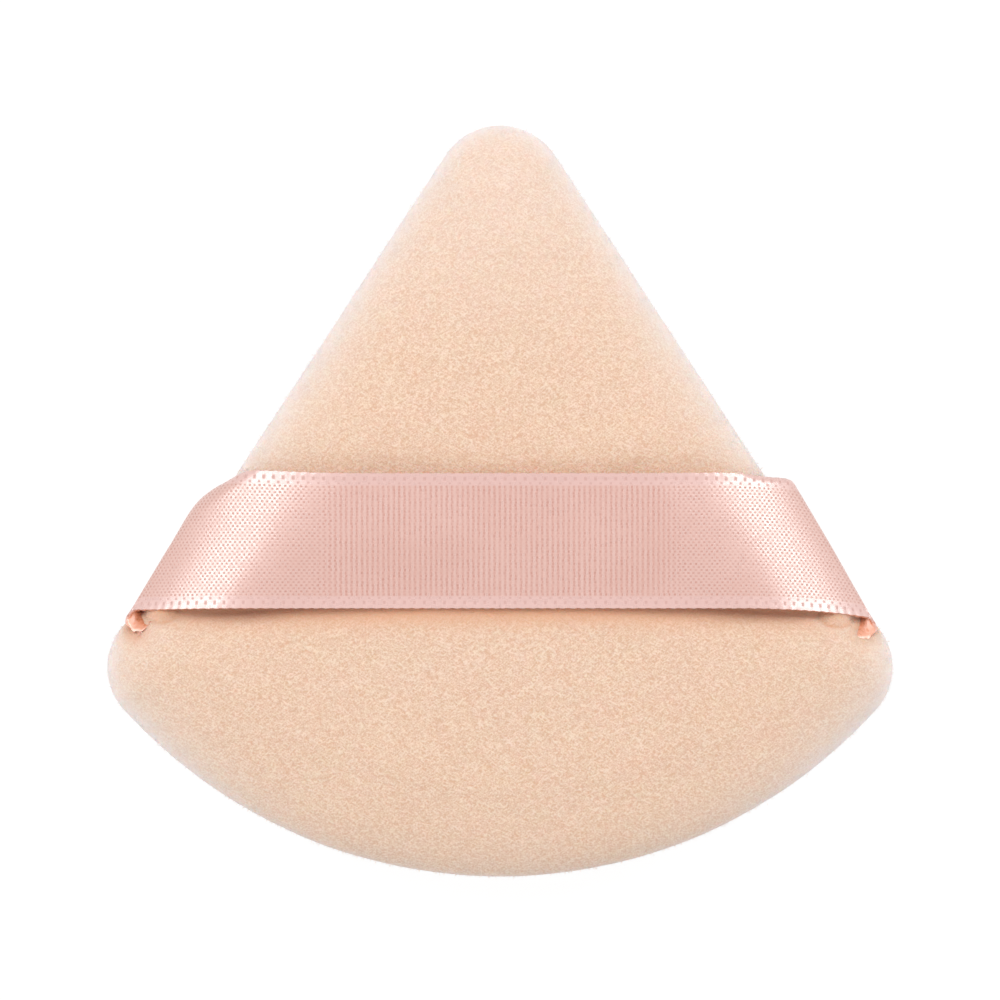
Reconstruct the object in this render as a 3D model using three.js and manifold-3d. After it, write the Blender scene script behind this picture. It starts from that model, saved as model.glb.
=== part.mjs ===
// A triangular velour powder puff with a satin finger ribbon across its front.
// It lies on its back on a surface: +Z goes up through the ribbon, +Y points to the apex,
// and the ribbon runs along X. The origin is on the surface, under the middle of the puff.
// All lengths are in millimetres, and turns are in degrees.

import * as THREE from 'three';
import Module from 'manifold-3d';

const wasm = await Module();
wasm.setup();

// The pad's outline: an apex, two sides and a long bottom curve.
const PAD_WIDTH = 75;
const PAD_LENGTH = 71.7;
const APEX_RADIUS = 6.25;
const CORNER_RADIUS = 6;
const BOTTOM_RADIUS = 48.5;
// The sewn-in ribbon draws both sides in, so the corners stand out past the sides' line.
const SIDE_DRAW_IN = 1.2;
const SHOULDER_RADIUS = 24;

// The pad's section: crown heights are taken from the seam's middle plane.
const FRONT_CROWN = 5.6;
const BACK_CROWN = 5.4;
const CROWN_RISE = 1.02;
const EDGE_ROLL = 6;
const LIP_RADIUS = 0.7;
// How deep the back's crown is pressed flat where the puff rests.
const REST_DEPTH = 0.5;

// Velour covers, and their seam allowances turned inwards at the middle plane.
const COVER_THICKNESS = 1;
const ALLOWANCE_THICKNESS = 0.8;
const SEAM_ALLOWANCE = 4.8;

// The finger ribbon, and the way it bends down to the seams at both sides.
const RIBBON_WIDTH = 12.7;
const RIBBON_THICKNESS = 0.25;
const RIBBON_FROM_BOTTOM = 32.1;
const RIBBON_RISE = 1;
const RIBBON_SLOPE_RADIUS = 16;
const RIBBON_SLOPE_TURN = 45;
const RIBBON_OVERHANG = 1.5;
const RIBBON_TAIL = 4.3;

// Sewing: the closed seam, the hand-closed filling opening and the ribbon's tack rows.
const THREAD_DIAMETER = 0.3;
const SEAM_INSET = 1.85;
const SEAM_PITCH = 6.6;
const OPENING_LENGTH = 38;
const CLOSING_INSET = 1.7;
const CLOSING_PITCH = 4.8;
const TACK_INSET = 3.15;
const TACK_LENGTH = 8.4;

// Clearances: ply to ply, plies to the ribbon, thread to cloth and thread, foam to cloth,
// and the ribbon's span to its ends.
const SEAM_GAP = 0.3;
const PLY_GAP = 0.15;
const THREAD_GAP = 0.2;
const FOAM_GAP = 0.35;
const SPLIT_GAP = 0.3;
const CUT_OVERRUN = 1;

// Steps of each curved stretch, in counts.
const BOTTOM_STEPS = 5;
const CORNER_STEPS = 4;
const SHOULDER_STEPS = 3;
const SIDE_STEPS = 2;
const APEX_STEPS = 3;
const SEAM_LINE_DETAIL = 12;
const SLOPE_STEPS = 7;
const FOLD_STEPS = 6;
const THREAD_SIDES = 5;
const TACK_STITCHES = 3;

// Where the section's rings lie, as shares of the roll's quarter turn and of the crown.
const LIP_SHARES = [0, 0.5, 1];
const ROLL_SHARES = [0.3, 0.62, 1];
const CROWN_SHARES = [0.68, 0.34];
const LINING_ROLL_SHARES = [0, 0.33, 0.66, 1];
const LINING_CROWN_SHARES = [0.6];
const FOAM_ROLL_SHARES = [0.5, 1];
const FOAM_CROWN_SHARES = [0.68, 0.34];

// Places that follow from the sizes above.
const seamZ = BACK_CROWN;
const threadRadius = THREAD_DIAMETER / 2;
const bottomY = -PAD_LENGTH / 2;
const ribbonY = bottomY + RIBBON_FROM_BOTTOM;
const apexCentre = new THREE.Vector2(0, PAD_LENGTH / 2 - APEX_RADIUS);
const bottomCentre = new THREE.Vector2(0, bottomY + BOTTOM_RADIUS);
const cornerCentre = new THREE.Vector2(PAD_WIDTH / 2 - CORNER_RADIUS, 0);
cornerCentre.y = bottomCentre.y
  - Math.sqrt((BOTTOM_RADIUS - CORNER_RADIUS) ** 2 - cornerCentre.x ** 2);

// The right side's outward normal: its line touches the apex's circle, and at the corner
// a circle that is smaller than the corner by the draw-in.
const drawnRadius = CORNER_RADIUS - SIDE_DRAW_IN;
const sideNormal = tangentNormal(apexCentre, APEX_RADIUS, cornerCentre, drawnRadius);
const sideUp = new THREE.Vector2(-sideNormal.y, sideNormal.x);
const sideReach = apexCentre.dot(sideNormal) + APEX_RADIUS;

// The middle of the largest circle that fits between both sides and the bottom.
const middle = new THREE.Vector2(0, (sideReach + bottomY) / (1 + sideNormal.y));

const outline = padOutline(1);
const fineOutline = padOutline(SEAM_LINE_DETAIL);

// The outward normal of the line that touches two circles on their right.
function tangentNormal(centreA, radiusA, centreB, radiusB) {
  const between = centreB.clone().sub(centreA);
  const lean = (radiusA - radiusB) / between.length();
  const along = between.normalize();
  const across = new THREE.Vector2(-along.y, along.x);
  return along.multiplyScalar(lean).addScaledVector(across, Math.sqrt(1 - lean ** 2));
}

// Points on an arc from one direction to another, without the last, each with the pad's
// outward normal. A bend of -1 is a hollow arc, whose normal points to its centre.
function arcStretch(centre, radius, from, to, steps, bend = 1) {
  return Array.from({ length: steps }, (_, step) => {
    const turn = from + (to - from) * step / steps;
    const out = new THREE.Vector2(Math.cos(turn), Math.sin(turn));
    return {
      point: centre.clone().addScaledVector(out, radius),
      normal: out.multiplyScalar(bend),
    };
  });
}

// The pad's outline, anticlockwise from the middle of the bottom.
function padOutline(detail) {
  const cornerDirection = cornerCentre.clone().sub(bottomCentre).angle() - 2 * Math.PI;
  const hollowReach = drawnRadius + SHOULDER_RADIUS;
  const hollowUp = Math.sqrt((CORNER_RADIUS + SHOULDER_RADIUS) ** 2 - hollowReach ** 2);
  const shoulderCentre = cornerCentre.clone()
    .addScaledVector(sideNormal, hollowReach)
    .addScaledVector(sideUp, hollowUp);
  const toShoulder = shoulderCentre.clone().sub(cornerCentre).angle();
  const normalDirection = sideNormal.angle();
  const sideStart = shoulderCentre.clone().addScaledVector(sideNormal, -SHOULDER_RADIUS);
  const sideEnd = apexCentre.clone().addScaledVector(sideNormal, APEX_RADIUS);
  const sideSteps = SIDE_STEPS * detail;
  const side = Array.from({ length: sideSteps }, (_, step) => ({
    point: sideStart.clone().lerp(sideEnd, step / sideSteps),
    normal: sideNormal.clone(),
  }));
  const right = [
    ...arcStretch(bottomCentre, BOTTOM_RADIUS, -Math.PI / 2, cornerDirection,
      BOTTOM_STEPS * detail),
    ...arcStretch(cornerCentre, CORNER_RADIUS, cornerDirection, toShoulder,
      CORNER_STEPS * detail),
    ...arcStretch(shoulderCentre, SHOULDER_RADIUS, toShoulder + Math.PI,
      normalDirection + Math.PI, SHOULDER_STEPS * detail, -1),
    ...side,
    ...arcStretch(apexCentre, APEX_RADIUS, normalDirection, Math.PI / 2,
      APEX_STEPS * detail),
  ];
  const top = {
    point: new THREE.Vector2(0, PAD_LENGTH / 2),
    normal: new THREE.Vector2(0, 1),
  };
  const left = right.slice(1).reverse().map(({ point, normal }) => ({
    point: new THREE.Vector2(-point.x, point.y),
    normal: new THREE.Vector2(-normal.x, normal.y),
  }));
  return [...right, top, ...left];
}

// An outline point moved inwards by an inset, square to the outline's own direction.
function insetPoint({ point, normal }, inset) {
  const reach = point.clone().sub(middle).dot(normal);
  return point.clone().lerp(middle, inset / reach);
}

// One ring of a pad's surface: the outline at an inset, drawn to a share of its size.
function padRing(inset, z, share = 1) {
  return outline.map((place) => {
    const flat = middle.clone().lerp(insetPoint(place, inset), share);
    return new THREE.Vector3(flat.x, flat.y, z);
  });
}

// A closed mesh from its vertices and triangles, with its faces pointing out.
function closedMesh(vertices, faces) {
  const enclosed = faces.reduce((sum, [a, b, c]) => {
    const normal = vertices[b].clone().cross(vertices[c]);
    return sum + vertices[a].dot(normal);
  }, 0);
  const outward = enclosed > 0 ? faces : faces.map(([a, b, c]) => [a, c, b]);
  const geometry = new THREE.BufferGeometry().setFromPoints(vertices);
  geometry.setIndex(outward.flat());
  return geometry;
}

// A solid skinned over rings of points, closed at both ends by a fan to a point.
function ringSolid(firstPoint, rings, lastPoint) {
  const count = rings[0].length;
  const vertices = [...rings.flat(), firstPoint, lastPoint];
  const first = vertices.length - 2;
  const last = vertices.length - 1;
  const faces = [];
  for (let step = 0; step < count; step += 1) {
    const next = (step + 1) % count;
    faces.push([first, next, step]);
    for (let ring = 1; ring < rings.length; ring += 1) {
      const near = (ring - 1) * count;
      const far = ring * count;
      faces.push([near + step, near + next, far + next]);
      faces.push([near + step, far + next, far + step]);
    }
    const end = (rings.length - 1) * count;
    faces.push([end + step, end + next, last]);
  }
  return closedMesh(vertices, faces);
}

function centreOf(points) {
  const sum = new THREE.Vector3();
  points.forEach((point) => sum.add(point));
  return sum.divideScalar(points.length);
}

// A solid skinned over rings, with flat ends.
function barSolid(rings) {
  return ringSolid(centreOf(rings[0]), rings, centreOf(rings[rings.length - 1]));
}

// A direction square to another: across the axis that the other leans to least.
function squareTo(direction) {
  const sizes = direction.toArray().map(Math.abs);
  const least = sizes.indexOf(Math.min(...sizes));
  return new THREE.Vector3().setComponent(least, 1).cross(direction).normalize();
}

// A round thread along straight stretches between points, turned over as little as it can.
function threadSolid(points) {
  const across = squareTo(points[1].clone().sub(points[0]));
  const rings = points.map((point, index) => {
    const before = points[Math.max(index - 1, 0)];
    const after = points[Math.min(index + 1, points.length - 1)];
    const arriving = point.clone().sub(before).normalize();
    const leaving = after.clone().sub(point).normalize();
    const along = arriving.add(leaving).normalize();
    across.addScaledVector(along, -across.dot(along)).normalize();
    const third = along.clone().cross(across);
    return Array.from({ length: THREAD_SIDES }, (_, step) => {
      const turn = 2 * Math.PI * step / THREAD_SIDES;
      return point.clone()
        .addScaledVector(across, threadRadius * Math.cos(turn))
        .addScaledVector(third, threadRadius * Math.sin(turn));
    });
  });
  return barSolid(rings);
}

// The height of a face above or below the seam's plies, as a place on Z.
function sectionZ(up, height) {
  return seamZ + up * (SEAM_GAP / 2 + height);
}

// The three heights of one side of the pad, from its ply's face: the full crown, the level
// that it is pressed to, and the height where the rim's roll ends.
function sideSection(crown, pressed) {
  const full = crown - SEAM_GAP / 2;
  return { full, level: full - pressed, edge: full - CROWN_RISE };
}

const frontSection = sideSection(FRONT_CROWN, 0);
const backSection = sideSection(BACK_CROWN + REST_DEPTH, REST_DEPTH);

// Rings over the crown, from its middle outwards, set below the cover's face by a depth.
function crownRings(up, section, depth, shares) {
  return [...shares].reverse().map((share) => {
    const height = Math.min(section.full - CROWN_RISE * share ** 2, section.level) - depth;
    return padRing(EDGE_ROLL, sectionZ(up, height), share);
  });
}

// Rings down the rim's roll, a quarter ellipse between the crown's edge and a start.
function rollRings(up, startInset, startHeight, endHeight, shares) {
  return [...shares].reverse().map((share) => {
    const turn = share * Math.PI / 2;
    const inset = EDGE_ROLL - (EDGE_ROLL - startInset) * Math.cos(turn);
    const height = startHeight + (endHeight - startHeight) * Math.sin(turn);
    return padRing(inset, sectionZ(up, height));
  });
}

// Rings round the lip, where the cover rolls into the seam.
function lipRings(up) {
  return [...LIP_SHARES].reverse().map((share) => {
    const turn = share * Math.PI / 2;
    const inset = LIP_RADIUS * (1 - Math.sin(turn));
    const height = LIP_RADIUS * (1 - Math.cos(turn));
    return padRing(inset, sectionZ(up, height));
  });
}

function crownCentre(up, section, depth) {
  return new THREE.Vector3(middle.x, middle.y, sectionZ(up, section.level - depth));
}

// A velour cover: its face, its lip, the allowance turned in behind it, and its back.
function velourCover(up, section) {
  const lining = section.edge - COVER_THICKNESS;
  const rings = [
    ...crownRings(up, section, 0, CROWN_SHARES),
    ...rollRings(up, 0, LIP_RADIUS, section.edge, ROLL_SHARES),
    ...lipRings(up),
    padRing(SEAM_ALLOWANCE, sectionZ(up, 0)),
    padRing(SEAM_ALLOWANCE, sectionZ(up, ALLOWANCE_THICKNESS)),
    ...rollRings(up, COVER_THICKNESS, ALLOWANCE_THICKNESS, lining, LINING_ROLL_SHARES)
      .reverse(),
    ...crownRings(up, section, COVER_THICKNESS, LINING_CROWN_SHARES).reverse(),
  ];
  return ringSolid(crownCentre(up, section, 0), rings,
    crownCentre(up, section, COVER_THICKNESS));
}

// One half of the foam's rings, from its crown to the groove that clears the allowances.
function foamHalf(up, section) {
  const depth = COVER_THICKNESS + FOAM_GAP;
  const groove = ALLOWANCE_THICKNESS + THREAD_DIAMETER + 2 * THREAD_GAP;
  const top = section.edge - depth;
  const start = Math.asin((groove - ALLOWANCE_THICKNESS) / (top - ALLOWANCE_THICKNESS));
  const startShare = start / (Math.PI / 2);
  const shares = FOAM_ROLL_SHARES.map((share) => startShare + (1 - startShare) * share);
  return [
    ...crownRings(up, section, depth, FOAM_CROWN_SHARES),
    ...rollRings(up, depth, ALLOWANCE_THICKNESS, top, [startShare, ...shares]),
    padRing(SEAM_ALLOWANCE + FOAM_GAP, sectionZ(up, groove)),
  ];
}

// The foam core: crowned on both faces, with a groove round its rim for the allowances.
function foamCore() {
  const depth = COVER_THICKNESS + FOAM_GAP;
  const rings = [...foamHalf(1, frontSection), ...foamHalf(-1, backSection).reverse()];
  return ringSolid(crownCentre(1, frontSection, depth), rings,
    crownCentre(-1, backSection, depth));
}

// How the ribbon runs across a side, in a plane square to the side.
const slopeTurn = THREE.MathUtils.degToRad(RIBBON_SLOPE_TURN);
const ribbonZ = seamZ + FRONT_CROWN + RIBBON_RISE + RIBBON_THICKNESS / 2;
const slopeDrop = RIBBON_SLOPE_RADIUS * (1 - Math.cos(slopeTurn));
const foldRadius = (ribbonZ - seamZ - slopeDrop) / (1 + Math.cos(slopeTurn));
const slopeRun = RIBBON_SLOPE_RADIUS * slopeTurn;
const foldRun = foldRadius * (Math.PI - slopeTurn);
const slopeReach = RIBBON_SLOPE_RADIUS * Math.sin(slopeTurn);
const foldReach = slopeReach - foldRadius * Math.sin(slopeTurn);
const sideFromFlat = foldReach + foldRadius - RIBBON_OVERHANG;
const splitRun = slopeRun + foldRadius * (Math.PI / 2 - slopeTurn);

// Half the width of the ribbon's flat middle, along its centre line.
const flatHalf = (sideReach - sideFromFlat - ribbonY * sideNormal.y) / sideNormal.x;

// The length along the ribbon to a depth inside the side's line.
function tuckRun(depth) {
  return slopeRun + foldRun + foldReach - sideFromFlat + depth;
}

// The ribbon's section after a length measured from its flat: reach, drop and turn.
function ribbonSection(run) {
  if (run <= 0) {
    return { reach: run, drop: 0, turn: 0 };
  }
  if (run <= slopeRun) {
    const turn = run / RIBBON_SLOPE_RADIUS;
    return {
      reach: RIBBON_SLOPE_RADIUS * Math.sin(turn),
      drop: RIBBON_SLOPE_RADIUS * (1 - Math.cos(turn)),
      turn,
    };
  }
  const turn = Math.min(slopeTurn + (run - slopeRun) / foldRadius, Math.PI);
  const straight = Math.max(run - slopeRun - foldRun, 0);
  return {
    reach: foldReach + foldRadius * Math.sin(turn) - straight,
    drop: slopeDrop + foldRadius * (Math.cos(slopeTurn) - Math.cos(turn)),
    turn,
  };
}

// A point in a side's own frame: its reach square to the side, and its place along it.
// hand is 1 on the right and -1 on the left.
function sidePoint(hand, reach, along, z) {
  return new THREE.Vector3(
    hand * (flatHalf + reach * sideNormal.x + along * sideUp.x),
    ribbonY + reach * sideNormal.y + along * sideUp.y,
    z,
  );
}

// Where a line across the ribbon's centre meets a run: straight cloth keeps its slant.
function ribbonAlong(run, across) {
  return (across - run * sideNormal.y) / sideNormal.x;
}

// Four points round the ribbon, at a run from the flat, with a gap added all round it.
function ribbonRing(hand, run, gap = 0) {
  const { reach, drop, turn } = ribbonSection(run);
  const corner = (across, lift) => sidePoint(
    hand,
    reach + lift * Math.sin(turn),
    ribbonAlong(run, across),
    ribbonZ - drop + lift * Math.cos(turn),
  );
  const halfWidth = RIBBON_WIDTH / 2 + gap;
  const halfThick = RIBBON_THICKNESS / 2 + gap;
  return [
    corner(-halfWidth, -halfThick),
    corner(halfWidth, -halfThick),
    corner(halfWidth, halfThick),
    corner(-halfWidth, halfThick),
  ];
}

function evenRuns(from, to, steps) {
  return Array.from({ length: steps + 1 }, (_, step) => from + (to - from) * step / steps);
}

// The ribbon's span over the front, up to its outermost fold at each side.
function ribbonSpan() {
  const runs = [
    ...evenRuns(0, slopeRun, SLOPE_STEPS),
    ...evenRuns(slopeRun, splitRun - SPLIT_GAP / 2, FOLD_STEPS / 2).slice(1),
  ];
  const left = runs.map((run) => ribbonRing(-1, run)).reverse();
  const right = runs.map((run) => ribbonRing(1, run));
  return barSolid([...left, ...right]);
}

// A ribbon end: from the outermost fold round and into the seam, trimmed inside the
// allowances' edge, and pierced by the stitches.
function ribbonEnd(hand) {
  const foldEnd = slopeRun + foldRun;
  const runs = [
    ...evenRuns(splitRun + SPLIT_GAP / 2, foldEnd, FOLD_STEPS),
    tuckRun(RIBBON_TAIL),
  ];
  return cutBy(barSolid(runs.map((run) => ribbonRing(hand, run))), [tailTrim(), ...holes]);
}

// The bed that a ribbon end presses into the plies on both of its faces.
function ribbonBed(hand) {
  const runs = [slopeRun + foldRun, tuckRun(RIBBON_TAIL + PLY_GAP)];
  return barSolid(runs.map((run) => ribbonRing(hand, run, PLY_GAP)));
}

// The prism inside the line that the ribbon ends are trimmed to.
function tailTrim() {
  const tall = RIBBON_THICKNESS / 2 + PLY_GAP;
  return barSolid([
    padRing(RIBBON_TAIL, seamZ - tall),
    padRing(RIBBON_TAIL, seamZ + tall),
  ]);
}

// The line of a seam at an inset: its length, the place at a distance along it, and the
// distance to where it passes nearest to a point.
function seamLine(inset) {
  const points = fineOutline.map((place) => insetPoint(place, inset));
  points.push(points[0]);
  const reached = [0];
  points.slice(1).forEach((point, index) => {
    reached.push(reached[index] + point.distanceTo(points[index]));
  });
  const length = reached[reached.length - 1];
  const placeAt = (distance) => {
    const wanted = ((distance % length) + length) % length;
    const step = Math.max(reached.findIndex((value) => value > wanted), 1);
    const start = points[step - 1];
    const tangent = points[step].clone().sub(start).normalize();
    return { point: start.clone().addScaledVector(tangent, wanted - reached[step - 1]), tangent };
  };
  const nearest = (target) => {
    const gaps = points.map((point) => point.distanceTo(target));
    return reached[gaps.indexOf(Math.min(...gaps))];
  };
  return { length, placeAt, nearest };
}

// A point near a stitch: along the seam, across it to the outside, and up from its plane.
function stitchPoint({ point, tangent }, along, across, up) {
  return new THREE.Vector3(
    point.x + along * tangent.x + across * tangent.y,
    point.y + along * tangent.y - across * tangent.x,
    seamZ + up,
  );
}

// The height of a thread's middle where it lies on an allowance.
const threadLift = SEAM_GAP / 2 + ALLOWANCE_THICKNESS + THREAD_GAP + threadRadius;

// Half the spread of the two threads' loops in a hole, so that they hook clear.
const loopHalf = (THREAD_DIAMETER + THREAD_GAP) / Math.SQRT2;
const hookHalf = (THREAD_DIAMETER + THREAD_GAP) / 2;

// Evenly spaced stitch places along a seam line.
function stitchPlaces(line, from, to, pitch) {
  const count = Math.round((to - from) / pitch);
  return evenRuns(from, to, count).map((distance) => line.placeAt(distance));
}

const seam = seamLine(SEAM_INSET);
const seamPlaces = stitchPlaces(seam, OPENING_LENGTH / 2, seam.length - OPENING_LENGTH / 2,
  SEAM_PITCH);
const closing = seamLine(CLOSING_INSET);
const closingHalf = OPENING_LENGTH / 2 - CLOSING_PITCH / 2;
const closingPlaces = stitchPlaces(closing, -closingHalf, closingHalf, CLOSING_PITCH);

// One thread of the lockstitch: it lies on its own ply, and in each hole it makes a loop
// that hooks round the other thread's loop between the plies.
function lockstitchThread(up) {
  const points = seamPlaces.flatMap((place) => [
    stitchPoint(place, -loopHalf, -up * loopHalf, up * threadLift),
    stitchPoint(place, -loopHalf, -up * loopHalf, -up * hookHalf),
    stitchPoint(place, loopHalf, up * loopHalf, -up * hookHalf),
    stitchPoint(place, loopHalf, up * loopHalf, up * threadLift),
  ]);
  return threadSolid(points);
}

// A running stitch through all plies, which changes face at each place.
function runningThread(places) {
  const points = places.flatMap((place, index) => {
    const up = index % 2 === 0 ? threadLift : -threadLift;
    return [stitchPoint(place, 0, 0, up), stitchPoint(place, 0, 0, -up)];
  });
  return threadSolid(points);
}

// The places of a tack row, across a ribbon end inside the allowance.
function tackPlaces(hand) {
  const line = seamLine(TACK_INSET);
  const tail = sidePoint(hand, sideFromFlat - TACK_INSET,
    ribbonAlong(tuckRun(TACK_INSET), 0), 0);
  const centre = line.nearest(new THREE.Vector2(tail.x, tail.y));
  return evenRuns(centre - TACK_LENGTH / 2, centre + TACK_LENGTH / 2, TACK_STITCHES - 1)
    .map((distance) => line.placeAt(distance));
}

// A square punch through all plies at a stitch.
function punch(place, halfWidth) {
  const tall = 2 * (threadLift + CUT_OVERRUN);
  const box = new THREE.BoxGeometry(2 * halfWidth, 2 * halfWidth, tall);
  const centre = stitchPoint(place, 0, 0, 0);
  box.rotateZ(place.tangent.angle());
  box.translate(centre.x, centre.y, centre.z);
  return box;
}

// A solid for cutting, from a closed mesh: faces share the vertices at the same place.
function toSolid(geometry) {
  const position = geometry.getAttribute('position');
  const index = geometry.getIndex();
  const found = new Map();
  const vertices = [];
  const shared = Array.from({ length: position.count }, (_, vertex) => {
    const place = [position.getX(vertex), position.getY(vertex), position.getZ(vertex)];
    const key = place.join();
    if (!found.has(key)) {
      found.set(key, vertices.length / 3);
      vertices.push(...place);
    }
    return found.get(key);
  });
  return new wasm.Manifold(new wasm.Mesh({
    numProp: 3,
    vertProperties: new Float32Array(vertices),
    triVerts: new Uint32Array(Array.from(index.array, (vertex) => shared[vertex])),
  }));
}

// A mesh cut by punches.
function cutBy(geometry, punches) {
  const solid = punches.reduce((rest, tool) => rest.subtract(toSolid(tool)), toSolid(geometry));
  const cut = solid.getMesh();
  const result = new THREE.BufferGeometry();
  result.setAttribute('position', new THREE.BufferAttribute(cut.vertProperties, 3));
  result.setIndex(Array.from(cut.triVerts));
  return result;
}

// All stitch holes: wide where two threads hook, and narrow where one thread passes.
function stitchHoles() {
  const wide = loopHalf + threadRadius + THREAD_GAP;
  const narrow = threadRadius + THREAD_GAP;
  return [
    ...seamPlaces.map((place) => punch(place, wide)),
    ...[...closingPlaces, ...tackPlaces(1), ...tackPlaces(-1)]
      .map((place) => punch(place, narrow)),
  ];
}

function velour() {
  return new THREE.MeshStandardMaterial({ color: 0xf3d3bb, roughness: 0.95, metalness: 0 });
}

function satin() {
  return new THREE.MeshStandardMaterial({ color: 0xe6bdb2, roughness: 0.38, metalness: 0 });
}

function foam() {
  return new THREE.MeshStandardMaterial({ color: 0xf4ead8, roughness: 0.9, metalness: 0 });
}

function thread() {
  return new THREE.MeshStandardMaterial({ color: 0xe9bfa6, roughness: 0.6, metalness: 0 });
}

function piece(name, geometry, material) {
  const mesh = new THREE.Mesh(geometry, material);
  mesh.name = name;
  return mesh;
}

const holes = stitchHoles();

// What is cut from both covers: the stitch holes, and the beds of the ribbon's ends.
const coverCuts = [...holes, ribbonBed(1), ribbonBed(-1)];
const puff = new THREE.Group();
puff.name = 'powder_puff';
puff.add(
  piece('foam_core', foamCore(), foam()),
  piece('front_cover', cutBy(velourCover(1, frontSection), coverCuts), velour()),
  piece('back_cover', cutBy(velourCover(-1, backSection), coverCuts), velour()),
  piece('finger_ribbon', ribbonSpan(), satin()),
  piece('ribbon_left_end', ribbonEnd(-1), satin()),
  piece('ribbon_right_end', ribbonEnd(1), satin()),
  piece('seam_needle_thread', lockstitchThread(1), thread()),
  piece('seam_bobbin_thread', lockstitchThread(-1), thread()),
  piece('closing_thread', runningThread(closingPlaces), thread()),
  piece('ribbon_left_tack', runningThread(tackPlaces(-1)), thread()),
  piece('ribbon_right_tack', runningThread(tackPlaces(1)), thread()),
);

export default puff;
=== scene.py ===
"""A triangular velour powder puff with a satin finger ribbon, dressed for the studio.

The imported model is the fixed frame: the puff lies on its back, +Z goes up through the
ribbon and +Y points to the apex. Lengths are in metres, most of them written times MM.
"""

import itertools
import logging
import math
from dataclasses import dataclass, field
from enum import Enum
from functools import cached_property

import bmesh
import bpy
import numpy as np
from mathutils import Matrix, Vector
from mathutils.kdtree import KDTree


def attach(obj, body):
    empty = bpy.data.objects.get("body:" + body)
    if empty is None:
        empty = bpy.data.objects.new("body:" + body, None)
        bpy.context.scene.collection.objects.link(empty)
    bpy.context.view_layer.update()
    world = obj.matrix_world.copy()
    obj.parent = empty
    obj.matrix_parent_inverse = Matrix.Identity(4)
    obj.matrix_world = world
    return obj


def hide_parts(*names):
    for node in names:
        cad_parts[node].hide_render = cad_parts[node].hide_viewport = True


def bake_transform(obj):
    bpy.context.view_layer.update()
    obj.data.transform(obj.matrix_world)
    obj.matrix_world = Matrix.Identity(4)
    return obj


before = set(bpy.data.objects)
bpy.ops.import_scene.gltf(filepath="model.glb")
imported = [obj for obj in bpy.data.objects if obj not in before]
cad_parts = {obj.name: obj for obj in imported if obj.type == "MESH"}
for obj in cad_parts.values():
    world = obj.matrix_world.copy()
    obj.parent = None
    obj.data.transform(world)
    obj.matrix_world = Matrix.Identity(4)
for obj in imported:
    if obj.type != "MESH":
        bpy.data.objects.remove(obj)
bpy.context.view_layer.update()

MM = 0.001
ODD_WAY = (0.31, 0.22, 0.92)
SPIKE_POINTS = 4
log = logging.getLogger("powder_puff")


class Face(Enum):
    """The two faces of the pad, by the direction that each looks in."""

    FRONT = 1
    BACK = -1


class Hand(Enum):
    """The two sides of the puff."""

    RIGHT = 1
    LEFT = -1


class LatticeNoise:
    """Smooth random values over space, from a seeded lattice that repeats."""

    def __init__(self, seed: int, cells: int = 32) -> None:
        """Draws a value from the seed for each corner of a lattice of so many cells each way."""
        self.cells = cells
        self.values = np.random.default_rng(seed).uniform(-1, 1, (cells, cells, cells))

    def at(self, points: np.ndarray, cell: float | np.ndarray) -> np.ndarray:
        """Reads the noise.

        Args:
            points: Places, one a row.
            cell: The size of a cell, one for all directions or one for each.

        Returns:
            One value for each place, from -1 to 1.
        """
        place = points / cell
        low = np.floor(place).astype(int)
        part = place - low
        part = part * part * (3 - 2 * part)
        total = np.zeros(len(points))
        for corner in itertools.product((0, 1), repeat=3):
            index = (low + corner) % self.cells
            share = np.where(np.array(corner) == 1, part, 1 - part)
            total += share.prod(axis=1) * self.values[tuple(index.T)]
        return total


def smooth_step(value: np.ndarray, low: float, high: float) -> np.ndarray:
    """Rises smoothly from 0 at low to 1 at high, or falls where high is the lower."""
    part = np.clip((value - low) / (high - low), 0, 1)
    return part * part * (3 - 2 * part)


def smooth_curve(at: np.ndarray, knots: np.ndarray, values: np.ndarray) -> np.ndarray:
    """Reads a smooth curve through given places.

    Args:
        at: Where to read it.
        knots: Where the curve's places lie, in rising order.
        values: The places, one a row.

    Returns:
        One place a row.
    """
    slopes = np.gradient(values, knots, axis=0)
    index = np.clip(np.searchsorted(knots, at) - 1, 0, len(knots) - 2)
    step = (knots[index + 1] - knots[index])[:, None]
    part = np.clip((at - knots[index])[:, None] / step, 0, 1)
    start = values[index] + step * slopes[index] * part
    end = values[index + 1] - step * slopes[index + 1] * (1 - part)
    share = part * part * (3 - 2 * part)
    return start * (1 - share) + end * share


def make_mesh(name: str, vertices: np.ndarray, faces: list) -> bpy.types.Object:
    """Makes a smooth-shaded closed mesh object whose faces point out.

    Args:
        name: The object's name.
        vertices: Places, one a row.
        faces: Lists of vertex numbers.

    Returns:
        The object, linked to the scene.
    """
    mesh = bpy.data.meshes.new(name)
    mesh.from_pydata(vertices.tolist(), [], faces)
    work = bmesh.new()
    work.from_mesh(mesh)
    if work.calc_volume(signed=True) < 0:
        bmesh.ops.reverse_faces(work, faces=work.faces)
    work.to_mesh(mesh)
    work.free()
    mesh.shade_smooth()
    piece = bpy.data.objects.new(name, mesh)
    bpy.context.scene.collection.objects.link(piece)
    return piece


def add_values(piece: bpy.types.Object, name: str, values: np.ndarray) -> None:
    """Keeps a value, or a vector, for each point of a mesh, for its material to read.

    Args:
        piece: The mesh's object.
        name: What the material calls the value.
        values: One value, or one vector a row, for each point.
    """
    kind, key = ("FLOAT", "value") if values.ndim == 1 else ("FLOAT_VECTOR", "vector")
    attribute = piece.data.attributes.new(name, kind, "POINT")
    attribute.data.foreach_set(key, values.astype(np.float32).ravel())


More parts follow.
